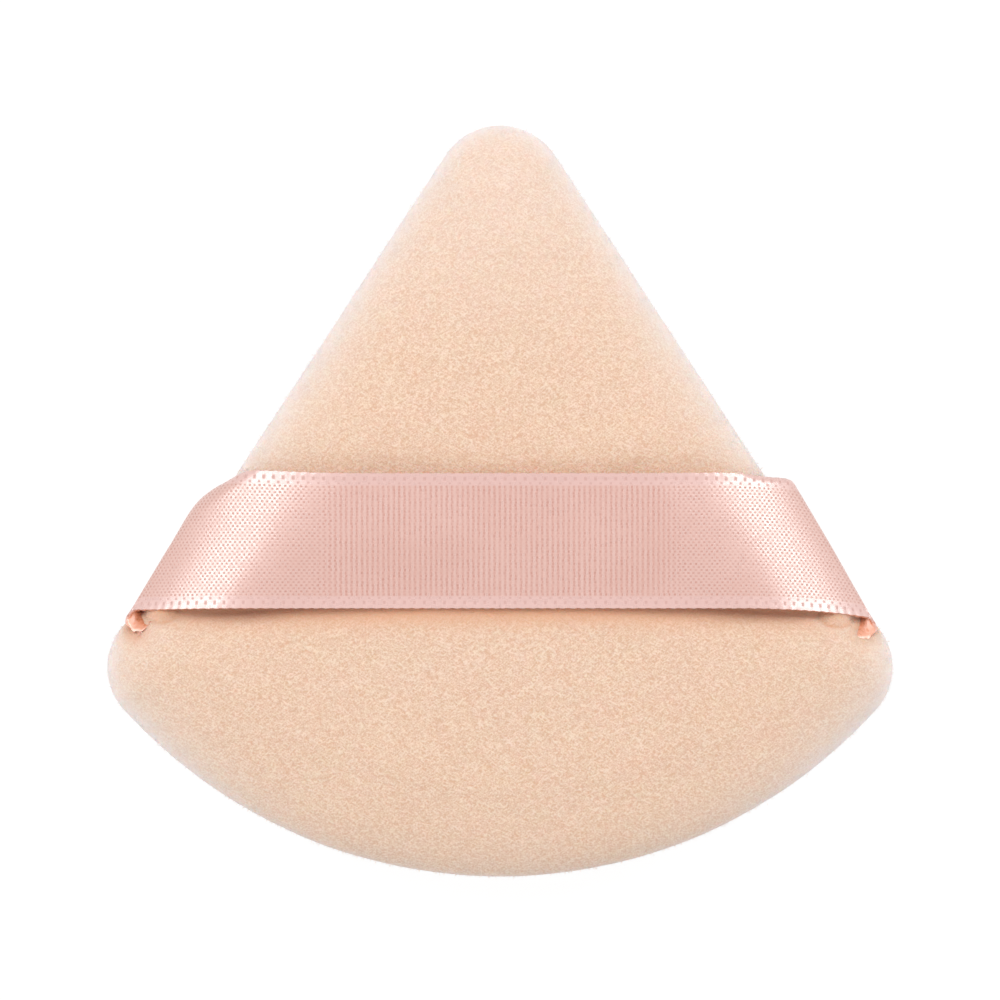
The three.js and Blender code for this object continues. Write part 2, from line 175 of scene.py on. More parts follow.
def read_vectors(items: bpy.types.bpy_prop_collection, key: str) -> np.ndarray:
    """Reads a vector from each item of a mesh's list.

    Args:
        items: The list, such as the points or their normals.
        key: The vector's name in an item.

    Returns:
        The vectors, one a row.
    """
    values = np.zeros(3 * len(items), np.float32)
    items.foreach_get(key, values)
    return values.reshape(-1, 3).astype(float)


def points_of(piece: bpy.types.Object) -> np.ndarray:
    """The place of each point of the mesh, one a row."""
    return read_vectors(piece.data.vertices, "co")


def move_points(piece: bpy.types.Object, places: np.ndarray) -> None:
    """Gives each point of the mesh a new place."""
    piece.data.vertices.foreach_set("co", places.astype(np.float32).ravel())
    piece.data.update()


def spikes(roots: np.ndarray, tips: np.ndarray, radius: float) -> tuple[np.ndarray, list]:
    """Closed three-sided spikes, for loose fibres.

    Args:
        roots: The middle of each spike's base, one a row.
        tips: The end of each spike.
        radius: The base's radius.

    Returns:
        The vertices and the faces.
    """
    out = tips - roots
    out = out / np.linalg.norm(out, axis=1, keepdims=True)
    aside = np.cross(out, ODD_WAY)
    aside = aside / np.linalg.norm(aside, axis=1, keepdims=True)
    across = np.cross(out, aside)
    corners = [roots + radius * (math.cos(turn) * aside + math.sin(turn) * across)
               for turn in (0, 2 * math.pi / 3, 4 * math.pi / 3)]
    vertices = np.stack([*corners, tips], axis=1).reshape(-1, 3)
    sides = np.array([[0, 1, 3], [1, 2, 3], [2, 0, 3], [2, 1, 0]])
    faces = (SPIKE_POINTS * np.arange(len(roots))[:, None, None] + sides).reshape(-1, 3)
    return vertices, faces.tolist()


def add_loose(piece: bpy.types.Object, vertices: np.ndarray, faces: list) -> None:
    """Adds closed loose shapes to a piece's mesh, after its own points.

    Args:
        piece: The piece's object.
        vertices: The shapes' places, one a row.
        faces: Lists of vertex numbers.
    """
    mesh = bpy.data.meshes.new("loose")
    mesh.from_pydata(vertices.tolist(), [], faces)
    work = bmesh.new()
    work.from_mesh(piece.data)
    work.from_mesh(mesh)
    work.to_mesh(piece.data)
    work.free()
    bpy.data.meshes.remove(mesh)


class RingSkin:
    """A surface skinned over rings of points.

    A ring may have half or twice the points of the one before it.
    """

    def __init__(self) -> None:
        """Starts with no rings."""
        self.points: list[np.ndarray] = []
        self.faces: list[list[int]] = []
        self.count = 0
        self.last: np.ndarray | None = None

    def add_points(self, points: np.ndarray) -> np.ndarray:
        """Adds points and returns their numbers.

        Args:
            points: Places, one a row.

        Returns:
            The numbers.
        """
        numbers = np.arange(self.count, self.count + len(points))
        self.points.append(points)
        self.count += len(points)
        return numbers

    def tip(self, point: np.ndarray) -> None:
        """Opens the skin with a fan from a point, or closes it with one.

        Args:
            point: The fan's point.
        """
        numbers = self.add_points(point.reshape(1, 3))
        tip = int(numbers[0])
        if self.last is not None:
            closing = zip(self.last, np.roll(self.last, -1))
            self.faces += [[int(a), tip, int(b)] for a, b in closing]
        self.last = numbers

    def ring(self, points: np.ndarray) -> None:
        """Adds a ring and joins it to the last one.

        Args:
            points: The ring's places, one a row.
        """
        ring = self.add_points(points)
        before = self.last
        self.last = ring
        if before is None:
            return
        after = np.roll(ring, -1)
        if len(before) == 1:
            self.faces += [[int(before[0]), int(a), int(b)] for a, b in zip(ring, after)]
        elif len(before) == len(ring):
            quads = np.stack([before, ring, after, np.roll(before, -1)], axis=1)
            self.faces += quads.tolist()
        elif len(before) == 2 * len(ring):
            self.faces += self.fold(before, ring, False)
        else:
            self.faces += self.fold(ring, before, True)

    @staticmethod
    def fold(fine: np.ndarray, coarse: np.ndarray, outward: bool) -> list[list[int]]:
        """Joins a ring to one that has half its points.

        Args:
            fine: The numbers of the ring with more points.
            coarse: The numbers of the other ring.
            outward: Whether the fine ring comes after the coarse one.

        Returns:
            Triangles between the two.
        """
        start, middle, end = fine[0::2], fine[1::2], np.roll(fine[0::2], -1)
        following = np.roll(coarse, -1)
        triangles = np.concatenate([
            np.stack([start, coarse, middle], axis=1),
            np.stack([middle, coarse, following], axis=1),
            np.stack([middle, following, end], axis=1),
        ])
        return (triangles[:, ::-1] if outward else triangles).tolist()

    def build(self, name: str) -> bpy.types.Object:
        """Makes the mesh object."""
        return make_mesh(name, np.concatenate(self.points), self.faces)


def closed_skin(name: str, front: list[np.ndarray], back: list[np.ndarray]) -> bpy.types.Object:
    """Skins both faces of a pad.

    Args:
        name: The object's name.
        front: The front's peak and then its rings, outwards.
        back: The back's, likewise.

    Returns:
        The object.
    """
    skin = RingSkin()
    skin.tip(front[0])
    for ring in front[1:] + back[:0:-1]:
        skin.ring(ring)
    skin.tip(back[0])
    return skin.build(name)


@dataclass(frozen=True)
class PadOutline:
    """The pad's plan: an apex, two sides drawn in by the ribbon, and a long bottom curve."""

    width: float = 75 * MM
    length: float = 71.7 * MM
    apex_radius: float = 6.25 * MM
    corner_radius: float = 6 * MM
    bottom_radius: float = 48.5 * MM
    side_draw_in: float = 1.2 * MM
    shoulder_radius: float = 24 * MM
    steps: int = 90
    search_points: int = 400
    search_batch: int = 4000

    @cached_property
    def bottom_y(self) -> float:
        """The lowest place of the bottom curve."""
        return -self.length / 2

    @cached_property
    def apex_centre(self) -> np.ndarray:
        """The middle of the apex's arc."""
        return np.array([0, self.length / 2 - self.apex_radius])

    @cached_property
    def bottom_centre(self) -> np.ndarray:
        """The middle of the bottom's arc."""
        return np.array([0, self.bottom_y + self.bottom_radius])

    @cached_property
    def corner_centre(self) -> np.ndarray:
        """The middle of the right corner's arc.

        Returns:
            Its place in plan.
        """
        across = self.width / 2 - self.corner_radius
        fall = math.sqrt((self.bottom_radius - self.corner_radius) ** 2 - across ** 2)
        return np.array([across, self.bottom_centre[1] - fall])

    @cached_property
    def drawn_radius(self) -> float:
        """The corner's radius less what the ribbon draws the side in."""
        return self.corner_radius - self.side_draw_in

    @cached_property
    def side_normal(self) -> np.ndarray:
        """The right side's direction outwards.

        Returns:
            A unit vector in plan.
        """
        between = self.corner_centre - self.apex_centre
        distance = np.linalg.norm(between)
        lean = (self.apex_radius - self.drawn_radius) / distance
        along = between / distance
        across = np.array([-along[1], along[0]])
        return lean * along + math.sqrt(1 - lean ** 2) * across

    @cached_property
    def side_up(self) -> np.ndarray:
        """The direction along the right side, towards the apex."""
        return np.array([-self.side_normal[1], self.side_normal[0]])

    @cached_property
    def side_reach(self) -> float:
        """How far the side's line lies from the origin."""
        return float(self.apex_centre @ self.side_normal) + self.apex_radius

    @cached_property
    def middle(self) -> np.ndarray:
        """The middle of the largest circle that fits in the plan."""
        height = (self.side_reach + self.bottom_y) / (1 + self.side_normal[1])
        return np.array([0, height])

    @cached_property
    def inner_radius(self) -> float:
        """The radius of the largest circle that fits in the plan."""
        return float(self.middle[1]) - self.bottom_y

    def arc(self, centre: np.ndarray, radius: float, start: float, end: float,
            bend: int = 1) -> tuple[np.ndarray, np.ndarray]:
        """Points on an arc, without its end, and their outward normals.

        Args:
            centre: The arc's middle.
            radius: Its radius.
            start: The direction of its first point from the middle, in radians.
            end: The direction of its end.
            bend: 1 on a crowned arc, -1 on a hollow one.

        Returns:
            The points and the normals, one a row.
        """
        turn = start + (end - start) * np.arange(self.steps) / self.steps
        out = np.stack([np.cos(turn), np.sin(turn)], axis=1)
        return centre + radius * out, bend * out

    @cached_property
    def dense(self) -> tuple[np.ndarray, np.ndarray]:
        """The whole outline, anticlockwise from the bottom's middle.

        Returns:
            The points and the normals, each one a row.
        """
        to_corner = self.corner_centre - self.bottom_centre
        corner_turn = math.atan2(to_corner[1], to_corner[0])
        hollow_reach = self.drawn_radius + self.shoulder_radius
        joined = self.corner_radius + self.shoulder_radius
        hollow_up = math.sqrt(joined ** 2 - hollow_reach ** 2)
        shoulder = (self.corner_centre + hollow_reach * self.side_normal
                    + hollow_up * self.side_up)
        to_shoulder = shoulder - self.corner_centre
        shoulder_turn = math.atan2(to_shoulder[1], to_shoulder[0])
        normal_turn = math.atan2(self.side_normal[1], self.side_normal[0])
        side_start = shoulder - self.shoulder_radius * self.side_normal
        side_end = self.apex_centre + self.apex_radius * self.side_normal
        share = (np.arange(self.steps) / self.steps)[:, None]
        side = (side_start + share * (side_end - side_start),
                np.tile(self.side_normal, (self.steps, 1)))
        half = [
            self.arc(self.bottom_centre, self.bottom_radius, -math.pi / 2, corner_turn),
            self.arc(self.corner_centre, self.corner_radius, corner_turn, shoulder_turn),
            self.arc(shoulder, self.shoulder_radius, shoulder_turn + math.pi,
                     normal_turn + math.pi, -1),
            side,
            self.arc(self.apex_centre, self.apex_radius, normal_turn, math.pi / 2),
        ]
        points = np.concatenate([part[0] for part in half])
        normals = np.concatenate([part[1] for part in half])
        top = np.array([[0, self.length / 2]])
        mirror = np.array([-1, 1])
        points = np.concatenate([points, top, points[:0:-1] * mirror])
        normals = np.concatenate([normals, [[0, 1]], normals[:0:-1] * mirror])
        return points, normals

    def sample(self, count: int) -> tuple[np.ndarray, np.ndarray]:
        """Evenly spaced places on the outline.

        Args:
            count: How many places.

        Returns:
            The points and their outward normals, one a row.
        """
        points, normals = self.dense
        closed = np.concatenate([points, points[:1]])
        directions = np.concatenate([normals, normals[:1]])
        steps = np.linalg.norm(np.diff(closed, axis=0), axis=1)
        reached = np.concatenate([[0], np.cumsum(steps)])
        wanted = reached[-1] * np.arange(count) / count
        place = np.stack([np.interp(wanted, reached, closed[:, i]) for i in (0, 1)], axis=1)
        out = np.stack([np.interp(wanted, reached, directions[:, i]) for i in (0, 1)], axis=1)
        return place, out / np.linalg.norm(out, axis=1, keepdims=True)

    def ring(self, count: int, inset: float, share: float = 1) -> np.ndarray:
        """The outline moved inwards, square to itself, and drawn to a share of its size.

        Args:
            count: How many points.
            inset: How far inwards.
            share: The share of its size.

        Returns:
            The points, one a row.
        """
        points, normals = self.sample(count)
        reach = ((points - self.middle) * normals).sum(axis=1, keepdims=True)
        inner = points + (self.middle - points) * inset / reach
        return self.middle + (inner - self.middle) * share

    def nearest(self, places: np.ndarray) -> tuple[np.ndarray, np.ndarray]:
        """How deep places lie inside the outline, and its normal nearest to each.

        Args:
            places: Places in plan, one a row.

        Returns:
            The depths, and the normals one a row.
        """
        points, normals = self.sample(self.search_points)
        nearest = np.empty(len(places), int)
        for start in range(0, len(places), self.search_batch):
            batch = slice(start, start + self.search_batch)
            gaps = ((places[batch, None] - points[None]) ** 2).sum(axis=2)
            nearest[batch] = gaps.argmin(axis=1)
        out = normals[nearest]
        return -((places - points[nearest]) * out).sum(axis=1), out


@dataclass(frozen=True)
class PadSection:
    """How one face of the pad rises from the seam's plies."""

    full: float
    pressed: float = 0
    crown_rise: float = 1.02 * MM
    edge_roll: float = 6 * MM
    lip_radius: float = 0.7 * MM
    rest_softness: float = 0.12 * MM

    def rise_share(self, inset: np.ndarray | float, reach: float) -> np.ndarray:
        """The crown's share of its whole rise at an inset."""
        return 1 - (1 - np.minimum(np.asarray(inset) / reach, 1)) ** 2

    def height(self, inset: np.ndarray | float, reach: float) -> np.ndarray:
        """The cover's height over its ply's face.

        Args:
            inset: How far in from the outline.
            reach: How far in the crown's middle lies.

        Returns:
            The height at each inset.
        """
        inset = np.asarray(inset, float)
        rise = self.crown_rise / (1 - self.rise_share(self.edge_roll, reach))
        roll = np.sqrt(1 - (1 - np.clip(inset / self.edge_roll, 0, 1)) ** 2)
        height = self.lip_radius + (self.full - rise - self.lip_radius) * roll
        height = height + rise * self.rise_share(inset, reach)
        if self.pressed:
            level = self.full - self.pressed
            under = np.exp((level - height) / self.rest_softness)
            height = level - self.rest_softness * np.log1p(under)
        return height


@dataclass(frozen=True)
class Pad:
    """What the covers and the foam share: the plan, the seam and both sections."""

    outline: PadOutline = PadOutline()
    front_crown: float = 5.6 * MM
    back_crown: float = 5.4 * MM
    rest_depth: float = 0.5 * MM
    seam_gap: float = 0.3 * MM
    cover_thickness: float = 1 * MM
    allowance_thickness: float = 0.8 * MM
    seam_allowance: float = 4.8 * MM

    @property
    def seam_z(self) -> float:
        """The height of the seam's middle plane."""
        return self.back_crown

    def section(self, face: Face) -> PadSection:
        """The section of one face.

        Args:
            face: The face.

        Returns:
            Its section.
        """
        if face is Face.FRONT:
            return PadSection(self.front_crown - self.seam_gap / 2)
        full = self.back_crown + self.rest_depth - self.seam_gap / 2
        return PadSection(full, self.rest_depth)

    def at(self, face: Face, plan: np.ndarray, height: np.ndarray | float) -> np.ndarray:
        """Places over the plan, at heights over the face's ply."""
        z = self.seam_z + face.value * (self.seam_gap / 2 + np.asarray(height))
        return np.column_stack([plan, np.broadcast_to(z, len(plan))])

    def peak(self, face: Face, depth: float = 0) -> np.ndarray:
        """The middle of a face's crown.

        Args:
            face: The face.
            depth: How far under the cover's face the place lies.

        Returns:
            The place.
        """
        reach = self.outline.inner_radius
        height = self.section(face).height(reach, reach) - depth
        return self.at(face, self.outline.middle[None], height)[0]

    def crown_ring(self, face: Face, count: int, share: float, depth: float = 0) -> np.ndarray:
        """A ring of a face's crown.

        Args:
            face: The face.
            count: How many points it has.
            share: Its size, as a share of the crown's edge.
            depth: How far under the cover's face it lies.

        Returns:
            The points, one a row.
        """
        section, reach = self.section(face), self.outline.inner_radius
        inset = section.edge_roll + (reach - section.edge_roll) * (1 - share)
        plan = self.outline.ring(count, section.edge_roll, share)
        return self.at(face, plan, section.height(inset, reach) - depth)

    def roll_ring(self, face: Face, count: int, turn: float) -> np.ndarray:
        """A ring of the roll between a face's crown and its rim.

        Args:
            face: The face.
            count: How many points it has.
            turn: Where it lies, in radians: 0 at the rim and a quarter turn at the crown.

        Returns:
            The points, one a row.
        """
        section = self.section(face)
        inset = section.edge_roll * (1 - math.cos(turn))
        plan = self.outline.ring(count, inset)
        return self.at(face, plan, section.height(inset, self.outline.inner_radius))


class Graph:
    """A node tree under construction."""

    def __init__(self, tree: bpy.types.NodeTree) -> None:
        """Takes an empty tree."""
        self.tree = tree

    def add(self, kind: str, inputs: dict | None = None, **settings: object) -> bpy.types.Node:
        """Adds a node.

        Args:
            kind: The node's type, without its ShaderNode start.
            inputs: A value or another node's output for each named or numbered socket.
            **settings: The node's own settings.

        Returns:
            The node.
        """
        node = self.tree.nodes.new("ShaderNode" + kind)
        for name, value in settings.items():
            setattr(node, name, value)
        for key, value in (inputs or {}).items():
            if isinstance(value, bpy.types.NodeSocket):
                self.tree.links.new(value, node.inputs[key])
            else:
                node.inputs[key].default_value = value
        return node

    def math(self, operation: str, *values: object) -> bpy.types.NodeSocket:
        """A Math node's result."""
        return self.add("Math", dict(enumerate(values)), operation=operation).outputs[0]

    def mix(self, share: object, first: object, second: object) -> bpy.types.NodeSocket:
        """A blend of two colours."""
        inputs = {0: share, 6: first, 7: second}
        return self.add("Mix", inputs, data_type="RGBA").outputs[2]

    def ramp(self, value: object, low: float, high: float, start: float = 0,
             end: float = 1) -> bpy.types.NodeSocket:
        """A value carried smoothly from one span to another, and held at its ends."""
        inputs = {0: value, 1: low, 2: high, 3: start, 4: end}
        return self.add("MapRange", inputs, interpolation_type="SMOOTHSTEP").outputs[0]

    def noise(self, vector: object, scale: object, detail: float = 2) -> bpy.types.NodeSocket:
        """A Noise texture's value."""
        inputs = {"Vector": vector, "Scale": scale, "Detail": detail}
        return self.add("TexNoise", inputs).outputs["Fac"]

    def bump(self, height: object, strength: float, depth: float) -> bpy.types.NodeSocket:
        """A normal bent by a height, at a strength and a depth in metres."""
        inputs = {"Height": height, "Strength": strength, "Distance": depth}
        return self.add("Bump", inputs).outputs[0]

    def attribute(self, name: str, output: str = "Fac") -> bpy.types.NodeSocket:
        """A value that the mesh keeps for each point."""
        return self.add("Attribute", attribute_name=name).outputs[output]

    def millimetres(self) -> bpy.types.NodeSocket:
        """The object's own coordinates, in millimetres."""
        inputs = {0: self.add("TexCoord").outputs["Object"], "Scale": 1 / MM}
        return self.add("VectorMath", inputs, operation="SCALE").outputs[0]

    def stretched(self, vector: object, scale: tuple[float, float, float]) -> bpy.types.NodeSocket:
        """Coordinates multiplied in each direction."""
        return self.add("VectorMath", {0: vector, 1: scale}, operation="MULTIPLY").outputs[0]

    def turned(self, vector: object, angle: float) -> bpy.types.NodeSocket:
        """Coordinates turned about Z."""
        inputs = {"Vector": vector, "Angle": angle}
        return self.add("VectorRotate", inputs, rotation_type="Z_AXIS").outputs[0]

    def fill(self, tree: bpy.types.NodeTree, inputs: dict) -> bpy.types.Node:
        """Places a node group and sets or joins its inputs."""
        return self.add("Group", inputs, node_tree=tree)


def new_material(name: str) -> tuple[bpy.types.Material, Graph]:
    """An empty node material and its graph.

    Args:
        name: The material's name.

    Returns:
        The material and the graph.
    """
    material = bpy.data.materials.new(name)
    material.use_nodes = True
    material.node_tree.nodes.clear()
    return material, Graph(material.node_tree)


def finish_material(graph: Graph, shader: bpy.types.Node) -> None:
    """Joins a shader to the material's output."""
    graph.add("OutputMaterial", {"Surface": shader.outputs[0]})


def start_group(name: str, inputs: dict) -> tuple[Graph, bpy.types.bpy_prop_collection]:
    """Starts a shader node group.

    Args:
        name: The group's name.
        inputs: Each input's socket type, after NodeSocket, and its default or None.

    Returns:
        Its graph, and where its inputs come in, by name.
    """
    tree = bpy.data.node_groups.new(name, "ShaderNodeTree")
    for key, (kind, default) in inputs.items():
        socket = tree.interface.new_socket(key, in_out="INPUT", socket_type="NodeSocket" + kind)
        if default is not None:
            socket.default_value = default
    return Graph(tree), tree.nodes.new("NodeGroupInput").outputs


def end_group(graph: Graph, values: dict[str, bpy.types.NodeSocket]) -> bpy.types.NodeTree:
    """Gives a shader node group its outputs.

    Args:
        graph: The group's graph.
        values: What goes to each output.

    Returns:
        The group.
    """
    tree = graph.tree
    for key in values:
        tree.interface.new_socket(key, in_out="OUTPUT", socket_type="NodeSocketFloat")
    end = tree.nodes.new("NodeGroupOutput")
    for key, socket in values.items():
        tree.links.new(socket, end.inputs[key])
    return tree


class Effects:
    """The shader node groups that the finishes share, each built once."""

    @cached_property
    def fibre_grain(self) -> bpy.types.NodeTree:
        """Fine tufts and loose streaks: a height, and a tone from -1 to 1.

        Returns:
            The group, with Height and Tone.
        """
        inputs = {"Place": ("Vector", None), "Fineness": ("Float", 2.5), "Streaks": ("Float", 0.4)}
        graph, given = start_group("fibre_grain", inputs)
        place = given["Place"]
        fineness = given["Fineness"]
        tufts = graph.noise(place, fineness, 2)
        streaks = []
        for turn in (0.5, -0.65):
            combed = graph.stretched(graph.turned(place, turn), (0.3, 1, 1))
            streaks.append(graph.noise(combed, fineness, 1))
        streaked = graph.math("SUBTRACT", graph.math("MAXIMUM", *streaks), 0.05)
        share = given["Streaks"]
        both = graph.math("ADD",
                          graph.math("MULTIPLY", tufts, graph.math("SUBTRACT", 1, share)),
                          graph.math("MULTIPLY", streaked, share))
        height = graph.ramp(both, 0.36, 0.64)
        tone = graph.math("SUBTRACT", graph.math("MULTIPLY", height, 2), 1)
        return end_group(graph, {"Height": height, "Tone": tone})

    @cached_property
    def knit_rows(self) -> bpy.types.NodeTree:
        """The knitted ground's rows, showing through the nap here and there, from 0 to 1.

        Returns:
            The group, with Rows.
        """
        inputs = {"Place": ("Vector", None), "Pitch": ("Float", 0.55)}
        graph, given = start_group("knit_rows", inputs)
        place = given["Place"]
        parts = graph.add("SeparateXYZ", {0: place})
        bend = graph.noise(place, 0.09, 1)
        level = graph.math("DIVIDE", parts.outputs[1], given["Pitch"])
        turns = graph.math("ADD", level, graph.math("MULTIPLY", bend, 5.0))
        wave = graph.math("SINE", graph.math("MULTIPLY", turns, 2 * math.pi))
        moved = graph.add("VectorMath", {0: place, 1: (7, 3, 11)}).outputs[0]
        stretched = graph.stretched(moved, (0.35, 1, 1))
        shows = graph.ramp(graph.noise(stretched, 0.55, 2), 0.42, 0.68)
        return end_group(graph, {"Rows": graph.math("MULTIPLY", graph.ramp(wave, -0.2, 1), shows)})

    @cached_property
    def woven_floats(self) -> bpy.types.NodeTree:
        """Warp floats: their rounded height, the gaps between them, and a tone for each.

        They stand in line up to Straight from the middle, and as bricks beyond it.

        Returns:
            The group, with Height, Gap and Tone.
        """
        inputs = {"Place": ("Vector", None), "Length": ("Float", 0.74), "Width": ("Float", 0.3),
                  "Wander": ("Vector", (0.16, 0.12, 0)), "Straight": ("Float", 16.0)}
        graph, given = start_group("woven_floats", inputs)
        wander = graph.add("TexNoise", {"Vector": given["Place"], "Scale": 1.3})
        aside = graph.add("VectorMath", {0: wander.outputs["Color"], 1: (-0.5, -0.5, -0.5)})
        place = graph.add("VectorMath", {0: aside.outputs[0], 1: given["Wander"],
                                         2: given["Place"]}, operation="MULTIPLY_ADD")
        parts = graph.add("SeparateXYZ", {0: place.outputs[0]})
        row = graph.math("DIVIDE", parts.outputs[1], given["Width"])
        row_number = graph.math("FLOOR", row)
        from_middle = graph.math("ABSOLUTE", parts.outputs[0])
        past = graph.math("SUBTRACT", from_middle, given["Straight"])
        bricked = graph.ramp(past, -2, 3)
        shift = graph.math("MULTIPLY_ADD", bricked, 0.44, 0.06)
        odd = graph.math("MULTIPLY", graph.math("FLOORED_MODULO", row_number, 2.0), shift)
        level = graph.math("DIVIDE", parts.outputs[0], given["Length"])
        step = graph.math("ADD", level, odd)
        step_number = graph.math("FLOOR", step)
        aside_v = graph.math("SUBTRACT", graph.math("FRACT", row), 0.5)
        aside_u = graph.math("SUBTRACT", graph.math("FRACT", step), 0.5)
        bow = graph.math("POWER", graph.math("MULTIPLY", aside_v, 2.0), 2.0)
        dome = graph.math("MULTIPLY_ADD", bow, -0.45, 1.0)
        ends = graph.math("MULTIPLY", graph.math("ABSOLUTE", aside_u), 2.0)
        dip = graph.math("SUBTRACT", 1.0, graph.math("POWER", ends, 4.0))
        in_line = graph.ramp(bricked, 1, 0, 0, 0.8)
        upright = graph.math("MAXIMUM", graph.ramp(bow, 0.7, 0.15), in_line)
        gap = graph.math("MULTIPLY", graph.ramp(ends, 0.3, 0.75), upright)
        numbers = graph.add("CombineXYZ", {0: step_number, 1: row_number})
        tone = graph.add("TexWhiteNoise", {"Vector": numbers.outputs[0]}).outputs["Value"]
        gap = graph.math("MULTIPLY", gap, graph.ramp(tone, 0, 1, 0.5, 1))
        height = graph.math("MULTIPLY", dome, dip)
        return end_group(graph, {"Height": height, "Gap": gap, "Tone": tone})

    @cached_property
    def soft_mottle(self) -> bpy.types.NodeTree:
        """Broad, faint changes of dye: two masks from 0 to 1, at unlike sizes.

        Returns:
            The group, with an output for each mask.
        """
        inputs = {"Place": ("Vector", None), "Breadth": ("Float", 0.1)}
        graph, given = start_group("soft_mottle", inputs)
        place = given["Place"]
        broad = graph.noise(place, given["Breadth"], 2)
        moved = graph.add("VectorMath", {0: place, 1: (31, 17, 5)}).outputs[0]
        close = graph.noise(moved, graph.math("MULTIPLY", given["Breadth"], 3.1), 3)
        masks = {"Broad": graph.ramp(broad, 0.35, 0.65), "Close": graph.ramp(close, 0.35, 0.65)}
        return end_group(graph, masks)


@dataclass(frozen=True)
class VelourFinish:
    """Short-pile cotton velour: a tufted nap, with painted sheen where it turns over the rim and
    painted shade by the ribbon's edges.
    """

    effects: Effects
    name: str = "peach_velour"
    pile: tuple[float, ...] = (0.82, 0.605, 0.455, 1)
    hollow: tuple[float, ...] = (0.70, 0.405, 0.255, 1)
    tips: tuple[float, ...] = (0.94, 0.765, 0.64, 1)
    rosy: tuple[float, ...] = (0.825, 0.58, 0.46, 1)
    # painted shade: the deep orange of the shadow under the ribbon's edges and of shade in creases
    # and dents
    painted_shade_colour: tuple[float, ...] = (0.77, 0.42, 0.26, 1)
    # painted sheen: the pale lavender-white that grazing light gives the nap at the rim
    rim: tuple[float, ...] = (0.90, 0.80, 0.765, 1)
    knit_back: tuple[float, ...] = (0.86, 0.62, 0.47, 1)
    sheen_colour: tuple[float, ...] = (0.94, 0.88, 0.93, 1)
    sheen: float = 1.0
    sheen_roughness: float = 0.42
    roughness: float = 0.95
    glow: float = 0.5
    glow_radius: tuple[float, ...] = (1.0, 0.5, 0.3)
    glow_scale: float = 0.9 * MM
    fineness: float = 6.4
    streaks: float = 0.5
    mottle_breadth: float = 0.11
    rosy_share: float = 0.4
    hollow_share: float = 0.62
    tips_share: float = 0.65
    rows_share: float = 0.22
    nap_strength: float = 0.35
    nap_depth: float = 0.1 * MM

    def build(self) -> bpy.types.Material:
        """Makes the material. The mesh gives its painted sheen, its painted shade and where its
        lining is.

        Returns:
            The material.
        """
        material, graph = new_material(self.name)
        place = graph.millimetres()
        grain = graph.fill(self.effects.fibre_grain, {
            "Place": place, "Fineness": self.fineness, "Streaks": self.streaks})
        mottle = graph.fill(self.effects.soft_mottle, {
            "Place": place, "Breadth": self.mottle_breadth})
        rosy_share = graph.math("MULTIPLY", mottle.outputs["Close"], self.rosy_share)
        dye = graph.mix(rosy_share, self.pile, self.rosy)
        rows = graph.fill(self.effects.knit_rows, {"Place": place}).outputs["Rows"]
        tone = grain.outputs["Tone"]
        dark = graph.math("MAXIMUM", graph.ramp(tone, 0.15, -1, 0, self.hollow_share),
                          graph.math("MULTIPLY", rows, self.rows_share))
        light = graph.ramp(tone, 0.1, 1, 0, self.tips_share)
        napped = graph.mix(light, graph.mix(dark, dye, self.hollow), self.tips)
        # painted sheen, light and highlight: the pale rim colour mixed in along the rim, towards
        # the apex and on the lumps
        fuzz = graph.ramp(graph.noise(place, 1.1, 2), 0.2, 0.7, 0.75, 1)
        painted_sheen_share = graph.math("MULTIPLY", graph.attribute("rim"), fuzz)
        napped = graph.mix(painted_sheen_share, napped, self.rim)
        # painted shade: a painted shadow under the ribbon's edges and shade in creases and dents
        napped = graph.mix(graph.attribute("pressed"), napped, self.painted_shade_colour)
        colour = graph.mix(graph.attribute("lining"), napped, self.knit_back)
        bump = graph.bump(grain.outputs["Height"], self.nap_strength, self.nap_depth)
        shader = graph.add("BsdfPrincipled", {
            "Base Color": colour,
            "Roughness": self.roughness,
            "Normal": bump,
            "Sheen Weight": self.sheen,
            "Sheen Roughness": self.sheen_roughness,
            "Sheen Tint": self.sheen_colour,
            "Specular IOR Level": 0.2,
            "Subsurface Weight": self.glow,
            "Subsurface Radius": self.glow_radius,
            "Subsurface Scale": self.glow_scale,
        })
        finish_material(graph, shader)
        return material


